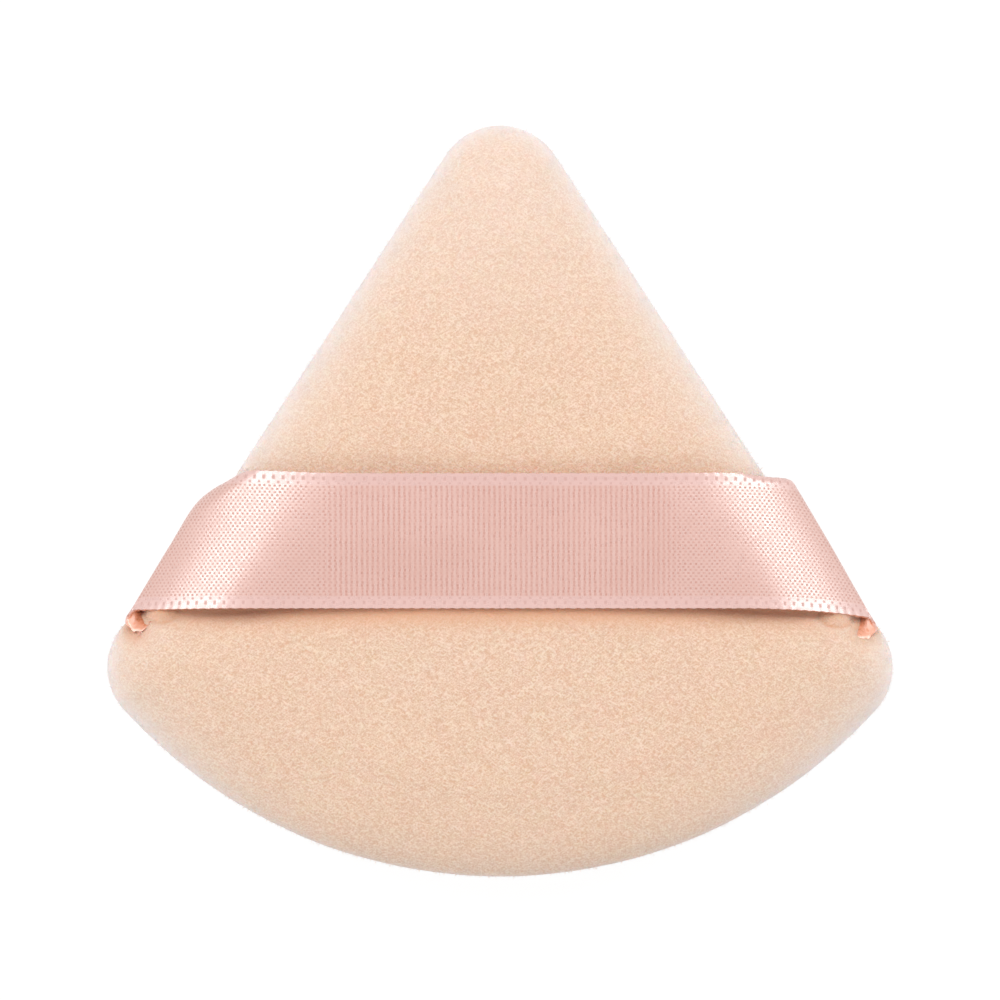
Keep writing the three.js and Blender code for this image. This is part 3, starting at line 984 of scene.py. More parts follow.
@dataclass(frozen=True)
class SatinFinish:
    """Warp-faced ribbon satin, with a stitched-looking selvedge along both edges."""

    effects: Effects
    name: str = "dusty_pink_satin"
    colour: tuple[float, ...] = (0.64, 0.372, 0.312, 1)
    pale: tuple[float, ...] = (0.73, 0.475, 0.42, 1)
    deep: tuple[float, ...] = (0.47, 0.20, 0.15, 1)
    # painted bounce glow and shade: a saturated orange for the ribbon's underside inside the folds
    back: tuple[float, ...] = (0.76, 0.29, 0.15, 1)
    edge_light: tuple[float, ...] = (0.695, 0.43, 0.385, 1)
    edge_dark: tuple[float, ...] = (0.50, 0.26, 0.22, 1)
    float_length: float = 0.5
    float_width: float = 0.29
    edge_pitch: float = 0.95
    edge_band: float = 1.12
    stroke_inset: float = 0.52
    stroke_half: float = 0.17
    stroke_wide: float = 0.15
    dot_inset: float = 0.94
    dot_half: float = 0.1
    dot_wide: float = 0.13
    half_width: float = 6.35
    smooth: float = 0.26
    rough: float = 0.34
    dulled: float = 0.4
    bend_of_light: float = 1.7
    mottle_breadth: float = 0.16
    mottle_share: float = 0.3
    tone_share: float = 0.6
    mark_share: float = 0.7
    mark_blur: float = 0.1
    weave_strength: float = 0.5
    weave_depth: float = 0.014 * MM

    def marks(self, graph: Graph, along: object, depth: object, middle: float, half: float,
              phase: float, wide: float) -> bpy.types.NodeSocket:
        """A row of dark marks along an edge.

        Args:
            graph: The material's graph.
            along: The place along the ribbon.
            depth: How far in from the edge.
            middle: How far in the row lies.
            half: Half the marks' height.
            phase: Where the row starts, as a share of the pitch.
            wide: Half a mark's width, as a share of the pitch.

        Returns:
            1 in a mark, and 0 outside.
        """
        step = graph.math("ADD", graph.math("DIVIDE", along, self.edge_pitch), phase)
        aside = graph.math("ABSOLUTE", graph.math("SUBTRACT", graph.math("FRACT", step), 0.5))
        off = graph.math("ABSOLUTE", graph.math("SUBTRACT", depth, middle))
        in_width = graph.ramp(aside, wide + 0.06, wide - 0.06)
        in_height = graph.ramp(off, half + 0.08, half - 0.08)
        return graph.math("MULTIPLY", in_width, in_height)

    def build(self) -> bpy.types.Material:
        """Makes the material. The mesh says where each point lies on the flat ribbon.

        Returns:
            The material.
        """
        material, graph = new_material(self.name)
        place = graph.attribute("ribbon_place", "Vector")
        weave = graph.fill(self.effects.woven_floats, {
            "Place": place, "Length": self.float_length, "Width": self.float_width})
        parts = graph.add("SeparateXYZ", {0: place})
        along, across = parts.outputs[0], parts.outputs[1]
        mottle = graph.fill(self.effects.soft_mottle, {
            "Place": place, "Breadth": self.mottle_breadth})
        gap, tone = weave.outputs["Gap"], weave.outputs["Tone"]
        mottled = graph.math("MULTIPLY", mottle.outputs["Broad"], self.mottle_share)
        dyed = graph.mix(mottled, self.colour, self.pale)
        dyed = graph.mix(graph.math("MULTIPLY", tone, self.tone_share), dyed, self.pale)
        cloth = graph.mix(gap, dyed, self.deep)
        depth = graph.math("SUBTRACT", self.half_width, graph.math("ABSOLUTE", across))
        strokes = self.marks(graph, along, depth, self.stroke_inset, self.stroke_half, 0.0,
                             self.stroke_wide)
        dots = self.marks(graph, along, depth, self.dot_inset, self.dot_half, 0.5, self.dot_wide)
        dark = graph.math("MAXIMUM", strokes, dots)
        marked = graph.math("MULTIPLY", dark, self.mark_share)
        band = graph.mix(marked, self.edge_light, self.edge_dark)
        edge = graph.ramp(depth, self.edge_band + self.mark_blur, self.edge_band - self.mark_blur)
        colour = graph.mix(edge, cloth, band)
        # the underside takes the painted bounce glow colour
        colour = graph.mix(graph.attribute("painted_under_glow"), colour, self.back)
        raised = graph.math("SUBTRACT", 1.0, dark)
        height = graph.mix(edge, weave.outputs["Height"], raised)
        bump = graph.bump(height, self.weave_strength, self.weave_depth)
        sunk = graph.mix(edge, gap, dark)
        lustre = graph.ramp(tone, 0, 1, self.rough, self.smooth)
        roughness = graph.math("MULTIPLY_ADD", sunk, self.dulled, lustre)
        shader = graph.add("BsdfPrincipled", {
            "Base Color": colour,
            "Roughness": roughness,
            "Normal": bump,
            "IOR": self.bend_of_light,
            "Specular IOR Level": 1.0,
        })
        finish_material(graph, shader)
        return material


@dataclass(frozen=True)
class FoamFinish:
    """Fine open-cell foam."""

    effects: Effects
    name: str = "cream_foam"
    colour: tuple[float, ...] = (0.90, 0.82, 0.66, 1)
    # painted shade in the cells' openings
    cell: tuple[float, ...] = (0.55, 0.46, 0.33, 1)
    cells_per_mm: float = 1.9
    cell_share: float = 0.6
    cell_depth: float = 0.2 * MM
    fineness: float = 4.0
    roughness: float = 0.9

    def build(self) -> bpy.types.Material:
        """Makes the material: rounded cells with darker openings.

        Returns:
            Makes the material: rounded cells with painted shade in their openings.
        """
        material, graph = new_material(self.name)
        place = graph.millimetres()
        voronoi = graph.add("TexVoronoi", {"Vector": place, "Scale": self.cells_per_mm})
        cells = voronoi.outputs["Distance"]
        grain = graph.fill(self.effects.fibre_grain, {
            "Place": place, "Fineness": self.fineness, "Streaks": 0})
        open_share = graph.ramp(cells, 0.42, 0.12)
        pore_shade = graph.math("MULTIPLY", open_share, self.cell_share)
        colour = graph.mix(pore_shade, self.colour, self.cell)
        grained = graph.math("MULTIPLY", grain.outputs["Height"], 0.2)
        bump = graph.bump(graph.math("SUBTRACT", grained, open_share), 0.6, self.cell_depth)
        shader = graph.add("BsdfPrincipled", {
            "Base Color": colour, "Roughness": self.roughness, "Normal": bump})
        finish_material(graph, shader)
        return material


@dataclass(frozen=True)
class ThreadFinish:
    """Spun polyester sewing thread."""

    effects: Effects
    name: str = "peach_thread"
    colour: tuple[float, ...] = (0.82, 0.53, 0.39, 1)
    shade: tuple[float, ...] = (0.58, 0.33, 0.23, 1)
    fineness: float = 9.0
    streaks: float = 0.5
    twist_depth: float = 0.04 * MM
    roughness: float = 0.6

    def build(self) -> bpy.types.Material:
        """Makes the material: fine twisted fibres.

        Returns:
            The material.
        """
        material, graph = new_material(self.name)
        place = graph.millimetres()
        grain = graph.fill(self.effects.fibre_grain, {
            "Place": place, "Fineness": self.fineness, "Streaks": self.streaks})
        colour = graph.mix(grain.outputs["Height"], self.shade, self.colour)
        bump = graph.bump(grain.outputs["Height"], 0.5, self.twist_depth)
        shader = graph.add("BsdfPrincipled", {
            "Base Color": colour, "Roughness": self.roughness, "Normal": bump})
        finish_material(graph, shader)
        return material


@dataclass(frozen=True)
class Pucker:
    """A lump in the front cover beside an end of the ribbon, with a crease round it, and the
    dent under the ribbon's fold."""

    x: float
    y: float
    dent_x: float
    dent_y: float
    stretch: tuple[float, float] = (1.15, 0.8)
    size: float = 1.0 * MM
    lift: float = 0.45 * MM
    ring: float = 1.5 * MM
    ring_width: float = 0.35 * MM
    ring_depth: float = 0.25 * MM
    dent_size: float = 1.5 * MM
    dent_depth: float = 1.25 * MM
    ridges: float = 0.6
    ridge_cell: tuple[float, ...] = (0.5 * MM, 1.2 * MM, 1.2 * MM)
    lifted_over: tuple[float, float] = (0, 0.5 * MM)
    sunk_over: tuple[float, float] = (0.3 * MM, 1.4 * MM)
    # painted shade in the crease round the lump
    crease_painted_shade: float = 0.8

    def shares(self, places: np.ndarray) -> tuple[np.ndarray, np.ndarray, np.ndarray]:
        """How fully each place lies in the lump, the crease and the dent, from 0 to 1.

        Args:
            places: Places, one a row.

        Returns:
            The shares in the lump, in the crease and in the dent.
        """
        gaps = np.linalg.norm((places[:, :2] - [self.x, self.y]) / self.stretch, axis=1)
        apart = np.linalg.norm(places[:, :2] - [self.dent_x, self.dent_y], axis=1)
        lump = np.exp(-(gaps / self.size) ** 2)
        crease = np.exp(-((gaps - self.ring) / self.ring_width) ** 2)
        return lump, crease, np.exp(-(apart / self.dent_size) ** 2)


@dataclass
class Settling:
    """A coarse skin of the pad that swells as cloth, held at its seam and under the
    ribbon's ends, to find how far each place of the covers gives way."""

    pad: Pad
    points_round: int = 96
    crown_rings: int = 10
    roll_rings: int = 5
    enlarged: float = 10
    pressure: float = 4
    mass: float = 0.3
    frames: int = 20
    most: float = 0.4 * MM
    least: float = 0.15 * MM
    reach: float = 1.6 * MM
    held_at: tuple[float, float] = (33.5 * MM, -10 * MM)
    held_near: float = 4.5 * MM
    seam_held: float = 1.2 * MM
    rim_held: float = 0.3 * MM
    neighbours: int = 6

    def rings(self, face: Face) -> list[np.ndarray]:
        """The peak of one face, and its rings out to the lip.

        Args:
            face: The face.

        Returns:
            The peak, and the points of each ring.
        """
        rings = [self.pad.peak(face)]
        for step in range(1, self.crown_rings + 1):
            rings.append(self.pad.crown_ring(face, self.points_round, step / self.crown_rings))
        for turn in np.linspace(math.pi / 2, 0, self.roll_rings + 1)[1:]:
            rings.append(self.pad.roll_ring(face, self.points_round, turn))
        return rings

    def cage(self) -> bpy.types.Object:
        """Makes the coarse skin, enlarged, with the points that stay put in a group.

        Returns:
            The skin.
        """
        cage = closed_skin("settling", self.rings(Face.FRONT), self.rings(Face.BACK))
        rest = points_of(cage)
        from_seam = np.abs(rest[:, 2] - self.pad.seam_z)
        inset = self.pad.outline.nearest(rest[:, :2])[0]
        ends = np.hypot(np.abs(rest[:, 0]) - self.held_at[0], rest[:, 1] - self.held_at[1])
        held = (from_seam < self.seam_held) | (inset < self.rim_held) | (ends < self.held_near)
        group = cage.vertex_groups.new(name="held")
        group.add(np.flatnonzero(held).tolist(), 1, "REPLACE")
        move_points(cage, rest * self.enlarged)
        return cage

    def swell(self) -> tuple[np.ndarray, np.ndarray]:
        """Runs the simulation.

        Returns:
            The coarse places at rest, and how far each moved, capped.
        """
        scene = bpy.context.scene
        cage = self.cage()
        rest = points_of(cage)
        cloth = cage.modifiers.new("cloth", "CLOTH")
        cloth.settings.use_pressure = True
        cloth.settings.uniform_pressure_force = self.pressure
        cloth.settings.mass = self.mass
        cloth.settings.vertex_group_mass = "held"
        cloth.settings.effector_weights.gravity = 0
        for number in range(1, self.frames + 1):
            scene.frame_set(number)
            moved = cage.evaluated_get(bpy.context.evaluated_depsgraph_get())
        gone = (points_of(moved) - rest) / self.enlarged
        scene.frame_set(1)
        mesh = cage.data
        bpy.data.objects.remove(cage)
        bpy.data.meshes.remove(mesh)
        length = np.linalg.norm(gone, axis=1, keepdims=True)
        log.info("the cloth gave way by %.2f mm at most", float(length.max()) / MM)
        gone = gone * np.minimum(1, self.most / np.maximum(length, 1e-9))
        rest = rest / self.enlarged
        side = np.sign(rest[:, 2] - self.pad.seam_z)
        gone[:, 2] = side * np.maximum(gone[:, 2] * side, -self.least)
        return rest, gone

    @cached_property
    def field(self) -> tuple[KDTree, np.ndarray]:
        """A tree of the coarse places, and their moves.

        Returns:
            The tree, and the moves one a row.
        """
        rest, gone = self.swell()
        tree = KDTree(len(rest))
        for number, place in enumerate(rest):
            tree.insert(place, number)
        tree.balance()
        return tree, gone

    def moves(self, places: np.ndarray) -> np.ndarray:
        """Args:
            places: Places on the covers, one a row.

        Returns:
            The moves, one a row.
        """
        tree, gone = self.field
        moves = np.empty_like(places)
        for number, place in enumerate(places):
            near = tree.find_n(place, self.neighbours)
            share = np.array([math.exp(-(gap / self.reach) ** 2 / 2) for _, _, gap in near]) + 1e-9
            moves[number] = share @ gone[[index for _, index, _ in near]] / share.sum()
        return moves


@dataclass(frozen=True)
class CoverPoints:
    """The points of a cover before it is softened.

    facing is the outline's outward normal nearest to each point, height is taken from the
    seam's plane, and on_face says which points lie on the face and the lip.
    """

    places: np.ndarray
    normals: np.ndarray
    inset: np.ndarray
    facing: np.ndarray
    height: np.ndarray
    on_face: np.ndarray


@dataclass
class VelourCover:
    """One velour cover: a crowned face, the lip at the seam, its allowance and its lining."""

    face: Face
    pad: Pad
    settling: Settling
    points_round: int = 704
    crown_rings: int = 62
    roll_rings: int = 26
    lip_rings: int = 4
    lining_rings: int = 10
    # painted sheen along the rim, fading inwards and weaker on the low rim; painted light towards
    # the apex; painted highlight on the lumps
    sheen_paint_width: float = 0.3 * MM
    sheen_paint_fade: float = 1.8 * MM
    sheen_paint_most: float = 0.78
    low_sheen_paint_loss: float = 0.92
    low_sheen_paint_from: float = 0.7
    apex_painted_light: float = 0.3
    apex_over: tuple[float, float] = (10 * MM, 33 * MM)
    lump_painted_highlight: float = 0.25
    broad_seed: int = 11
    close_seed: int = 23
    fibre_seed: int = 41
    loose_fibres: int = 5200
    fibre_length: float = 0.42 * MM
    fibre_shares: tuple[float, float] = (0.45, 1.3)
    fibre_radius: float = 0.022 * MM
    fibre_root: float = 0.12 * MM
    fibre_scatter: float = 0.1 * MM
    fibre_lean: float = 0.55
    fibre_inset: float = 1.5 * MM
    fibre_height: float = 0.35 * MM
    puckers: tuple[Pucker, ...] = (
        Pucker(-32.3 * MM, -10.3 * MM, -34.7 * MM, -12.0 * MM),
        Pucker(32.1 * MM, -10.7 * MM, 34.7 * MM, -12.1 * MM),
    )
    # painted shadow along the ribbon's edges, far stronger below it than above, and painted shade
    # in dents
    painted_shade_near: float = 1.6 * MM
    painted_shade_above: float = 0.08
    painted_shade_below: float = 0.95
    painted_shade_over: tuple[float, float] = (0.5 * MM, 2 * MM)
    dent_painted_shade: float = 0.95
    ribbon_y: float = -3.75 * MM
    ribbon_half: float = 6.35 * MM
    soft_lift: float = 0.09 * MM
    soft_cell: float = 8 * MM
    close_cell: float = 3.6 * MM
    close_share: float = 0.5
    tuft_lift: float = 0.022 * MM
    tuft_cell: float = 0.75 * MM
    gather_lift: float = 0.07 * MM
    gather_pitch: float = 3.4 * MM
    gather_depth: float = 1.8 * MM
    gather_round: float = 30 * MM
    uneven_over: tuple[float, float] = (0.4 * MM, 2.2 * MM)
    uneven_from_rest: tuple[float, float] = (0, 0.7 * MM)
    settled_over: tuple[float, float] = (1.2 * MM, 3 * MM)
    settled_from_rest: tuple[float, float] = (0.4 * MM, 2 * MM)

    @property
    def name(self) -> str:
        """The piece's name, after the node that it stands for."""
        return "front_velour" if self.face is Face.FRONT else "back_velour"

    @property
    def node(self) -> str:
        """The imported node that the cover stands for."""
        return "front_cover" if self.face is Face.FRONT else "back_cover"

    @cached_property
    def broad(self) -> LatticeNoise:
        """The noise of the broad swells and the gathers."""
        return LatticeNoise(self.broad_seed + self.face.value)

    @cached_property
    def close(self) -> LatticeNoise:
        """The noise of the closer swells, the tufts and the lumps' ridges."""
        return LatticeNoise(self.close_seed + self.face.value)

    def count_at(self, share: float) -> int:
        """How many points a ring has at a share of the crown's size."""
        halvings = sum(share < limit for limit in (0.52, 0.27, 0.14, 0.07))
        return self.points_round >> halvings

    def add_face_rings(self, skin: RingSkin) -> None:
        """Adds the crown, the roll and the lip, from the middle outwards.

        Args:
            skin: The cover's skin.
        """
        outline, section = self.pad.outline, self.pad.section(self.face)
        skin.tip(self.pad.peak(self.face))
        for step in range(1, self.crown_rings + 1):
            share = step / self.crown_rings
            skin.ring(self.pad.crown_ring(self.face, self.count_at(share), share))
        for step in range(1, self.roll_rings + 1):
            turn = math.pi / 2 * (1 - step / self.roll_rings)
            skin.ring(self.pad.roll_ring(self.face, self.points_round, turn))
        for step in range(1, self.lip_rings + 1):
            turn = math.pi / 2 * step / self.lip_rings
            plan = outline.ring(self.points_round, section.lip_radius * (1 - math.cos(turn)))
            skin.ring(self.pad.at(self.face, plan, section.lip_radius * (1 - math.sin(turn))))

    def add_lining_rings(self, skin: RingSkin) -> None:
        """Adds the allowance that turns in at the seam, and the lining up to its middle.

        Args:
            skin: The cover's skin.
        """
        outline, section = self.pad.outline, self.pad.section(self.face)
        reach = outline.inner_radius
        half, quarter = self.points_round // 2, self.points_round // 4
        allowance, thickness = self.pad.allowance_thickness, self.pad.cover_thickness
        skin.ring(self.pad.at(self.face, outline.ring(half, self.pad.seam_allowance), 0))
        skin.ring(self.pad.at(self.face, outline.ring(quarter, self.pad.seam_allowance), allowance))
        for step in range(self.lining_rings + 1):
            turn = math.pi / 2 * step / self.lining_rings
            span = section.edge_roll - thickness
            inset = section.edge_roll - span * math.cos(turn)
            edge = section.height(section.edge_roll, reach) - thickness
            height = allowance + (edge - allowance) * math.sin(turn)
            skin.ring(self.pad.at(self.face, outline.ring(quarter, inset), height))
        for step in range(1, self.lining_rings):
            share = 1 - step / self.lining_rings
            skin.ring(self.pad.crown_ring(self.face, quarter, share, thickness))
        skin.tip(self.pad.peak(self.face, thickness))

    def measure(self, cover: bpy.types.Object, outer: int) -> CoverPoints:
        """Finds where the cover's points lie.

        Args:
            cover: The cover's mesh.
            outer: How many of its points, from the first, lie on the face and lip.

        Returns:
            The points.
        """
        places = points_of(cover)
        inset = np.full(len(places), self.pad.outline.inner_radius)
        facing = np.zeros((len(places), 2))
        inset[:outer], facing[:outer] = self.pad.outline.nearest(places[:outer, :2])
        height = (places[:, 2] - self.pad.seam_z) * self.face.value
        on_face = np.arange(len(places)) < outer
        normals = read_vectors(cover.data.vertex_normals, "vector")
        return CoverPoints(places, normals, inset, facing, height, on_face)

    def unevenness(self, points: CoverPoints) -> np.ndarray:
        """The face's swells, its tufts and the gathers at its seam.

        Args:
            points: The cover's points.

        Returns:
            How far each point moves out.
        """
        places = points.places
        swells = self.close_share * self.close.at(places, self.close_cell)
        lift = self.soft_lift * (self.broad.at(places, self.soft_cell) + swells)
        lift += self.tuft_lift * self.close.at(places, self.tuft_cell)
        pull = np.exp(-np.abs(points.inset) / self.gather_depth)
        angle = np.arctan2(places[:, 1] - self.pad.outline.middle[1], places[:, 0])
        around = np.column_stack([np.cos(angle), np.sin(angle), np.zeros(len(places))])
        gathers = self.broad.at(around * self.gather_round, self.gather_pitch)
        lift += self.gather_lift * pull * gathers
        held = smooth_step(points.height, *self.uneven_over)
        if self.face is Face.BACK:
            held = held * smooth_step(places[:, 2], *self.uneven_from_rest)
        return lift * held * points.on_face

    def settled(self, places: np.ndarray) -> np.ndarray:
        """The cloth's moves up and down, which fade near the seam and where the pad rests.

        Args:
            places: The cover's points, one a row.

        Returns:
            The move of each.
        """
        moves = self.settling.moves(places) * [0, 0, 1]
        keep = smooth_step(np.abs(places[:, 2] - self.pad.seam_z), *self.settled_over)
        if self.face is Face.BACK:
            keep = keep * smooth_step(places[:, 2], *self.settled_from_rest)
        return moves * keep[:, None]

    def puckered(self, points: CoverPoints) -> tuple[np.ndarray, ...]:
        """The lumps, creases and dents beside the ribbon's ends.

        Args:
            points: The cover's points.

        Returns:
            How far each point moves out, how far it sinks, how fully it lies in a lump, and
            the painted shade of its crease or dent.
        """
        lift, sunk, lump, hollow_shade = np.zeros((4, len(points.places)))
        for pucker in self.puckers if self.face is Face.FRONT else ():
            raised, crease, hollow = pucker.shares(points.places)
            ridges = self.close.at(points.places, np.array(pucker.ridge_cell))
            ridged = raised * (1 + pucker.ridges * ridges)
            above = points.on_face * smooth_step(points.height, *pucker.lifted_over)
            lift += above * (pucker.lift * ridged - pucker.ring_depth * crease)
            sunk += pucker.dent_depth * hollow * smooth_step(points.height, *pucker.sunk_over)
            lump = np.maximum(lump, raised * points.on_face)
            # painted shade in the crease and the dent
            crease_shade = np.maximum(pucker.crease_painted_shade * crease, hollow)
            hollow_shade = np.maximum(hollow_shade, crease_shade * points.on_face)
        return lift, sunk, lump, hollow_shade

    def painted_sheen_share(self, points: CoverPoints, moved: np.ndarray, lump: np.ndarray) -> np.ndarray:
        """The painted sheen and light on the nap: painted sheen along the rim, less on the low rim,
        painted light towards the apex and a painted highlight on the lumps.

        Args:
            points: The cover's points.
            moved: Their places once softened.
            lump: How fully each lies in a lump.

        Returns:
            A share for each point.
        """
        fade = np.exp(-np.maximum(points.inset - self.sheen_paint_width, 0) / self.sheen_paint_fade)
        low = smooth_step(-points.facing[:, 1], self.low_sheen_paint_from, 1)
        rim = self.sheen_paint_most * fade * points.on_face * (1 - self.low_sheen_paint_loss * low)
        apex = self.apex_painted_light * smooth_step(moved[:, 1], *self.apex_over) * points.on_face
        return np.maximum(np.maximum(rim, apex), self.lump_painted_highlight * lump)

    def painted_shade_share(self, points: CoverPoints, moved: np.ndarray,
                      hollow_shade: np.ndarray) -> np.ndarray:
        """The painted shade on the nap: a painted shadow under the ribbon's edges, mostly below it,
        and painted shade in creases and dents.

        Args:
            points: The cover's points.
            moved: Their places once softened.
            hollow_shade: The painted shade of a crease or dent, for each point.

        Returns:
            A share for each point.
        """
        over = moved[:, 1] - self.ribbon_y
        most = np.where(over > 0, self.painted_shade_above, self.painted_shade_below)
        from_edge = np.abs(np.abs(over) - self.ribbon_half)
        shown = points.on_face * (self.face is Face.FRONT)
        shown = shown * smooth_step(points.height, *self.painted_shade_over)
        pressed = most * np.exp(-(from_edge / self.painted_shade_near) ** 2) * shown
        return np.maximum(pressed, self.dent_painted_shade * hollow_shade)

    def soften(self, cover: bpy.types.Object, outer: int) -> None:
        """Gives the face its unevenness and fibres, and marks what its finish has to know.

        Args:
            cover: The cover's mesh.
            outer: How many of its points, from the first, lie on the face and lip.
        """
        points = self.measure(cover, outer)
        lift, sunk, lump, hollow_shade = self.puckered(points)
        lift = self.unevenness(points) + lift
        moved = points.places + points.normals * lift[:, None] + self.settled(points.places)
        moved[:, 2] -= sunk
        move_points(cover, moved)
        marks = {
            # rim holds the painted sheen, light and highlight
            "rim": self.painted_sheen_share(points, moved, lump) * (1 - hollow_shade),
            # pressed holds the painted shadow and shade
            "pressed": self.painted_shade_share(points, moved, hollow_shade),
            "lining": 1.0 - points.on_face,
        }
        near_rim = (points.inset < self.fibre_inset) & (points.height > self.fibre_height)
        seen = points.on_face & near_rim
        roots = self.add_fibres(cover, moved[seen], points.normals[seen])
        for name, values in marks.items():
            loose = np.repeat(values[seen][roots], SPIKE_POINTS)
            add_values(cover, name, np.concatenate([values, loose]))

    def add_fibres(self, cover: bpy.types.Object, places: np.ndarray,
                   normals: np.ndarray) -> np.ndarray:
        """Adds the loose fibres that soften the rim.

        Args:
            cover: The cover's mesh.
            places: The points that may carry one.
            normals: Their normals.

        Returns:
            The number of the point that each fibre stands on.
        """
        draws = np.random.default_rng(self.fibre_seed + self.face.value)
        chosen = draws.integers(0, len(places), self.loose_fibres)
        roots = places[chosen] + draws.normal(0, self.fibre_scatter, (len(chosen), 3))
        lean = normals[chosen] + draws.normal(0, self.fibre_lean, (len(chosen), 3))
        lean = lean / np.linalg.norm(lean, axis=1, keepdims=True)
        length = self.fibre_length * draws.uniform(*self.fibre_shares, (len(chosen), 1))
        roots = roots - self.fibre_root * normals[chosen]
        add_loose(cover, *spikes(roots, roots + lean * length, self.fibre_radius))
        return chosen

    def build(self) -> bpy.types.Object:
        """Makes the cover's mesh.

        Returns:
            The cover, in place.
        """
        skin = RingSkin()
        self.add_face_rings(skin)
        outer = skin.count
        self.add_lining_rings(skin)
        cover = skin.build(self.name)
        self.soften(cover, outer)
        return cover

    def dress(self, cover: bpy.types.Object, material: bpy.types.Material) -> None:
        """Gives the cover its finish and its place in the frame.

        Args:
            cover: The cover's mesh.
            material: Its finish.
        """
        cover.data.materials.append(material)
        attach(cover, "pad")
        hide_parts(self.node)


@dataclass
class FoamCore:
    """The foam that fills the covers, grooved round its rim for the seam's allowances."""

    pad: Pad
    gap: float = 0.35 * MM
    groove: float = 1.5 * MM
    points_round: int = 176
    crown_rings: int = 16
    roll_rings: int = 8

    def half(self, face: Face) -> list[np.ndarray]:
        """The peak of one face, and its rings out to the groove.

        Args:
            face: The face.

        Returns:
            The peak, and the points of each ring.
        """
        outline, section = self.pad.outline, self.pad.section(face)
        depth = self.pad.cover_thickness + self.gap
        rings = [self.pad.peak(face, depth)]
        for step in range(1, self.crown_rings + 1):
            share = step / self.crown_rings
            rings.append(self.pad.crown_ring(face, self.points_round, share, depth))
        top = float(section.height(section.edge_roll, outline.inner_radius)) - depth
        low = self.pad.allowance_thickness
        first = math.asin((self.groove - low) / (top - low))
        for turn in np.linspace(math.pi / 2, first, self.roll_rings)[1:]:
            inset = section.edge_roll - (section.edge_roll - depth) * math.cos(turn)
            height = low + (top - low) * math.sin(turn)
            rings.append(self.pad.at(face, outline.ring(self.points_round, inset), height))
        plan = outline.ring(self.points_round, self.pad.seam_allowance + self.gap)
        rings.append(self.pad.at(face, plan, self.groove))
        return rings

    def build(self) -> bpy.types.Object:
        """Makes the foam's mesh."""
        return closed_skin("foam_filling", self.half(Face.FRONT), self.half(Face.BACK))

    def dress(self, core: bpy.types.Object, material: bpy.types.Material) -> None:
        """Gives the foam its finish and its place in the frame.

        Args:
            core: The foam's mesh.
            material: Its finish.
        """
        core.data.materials.append(material)
        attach(core, "pad")
        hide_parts("foam_core")


@dataclass(frozen=True)
class Drape:
    """How one end of the ribbon departs from an even fold.

    level is the share of the slope's droop that the sewing takes up again. foot_in is how
    far the fold's lower end is drawn in, and head_out how far its upper end stands out. The
    upper corner rolls under with roll_radius, along an arc round roll_centre, which is given
    as on the right side.
    """

    level: float
    foot_in: float
    head_out: float
    roll_centre: tuple[float, float]
    arc_radius: float
    roll_radius: float
    roll_most: float = math.radians(150)


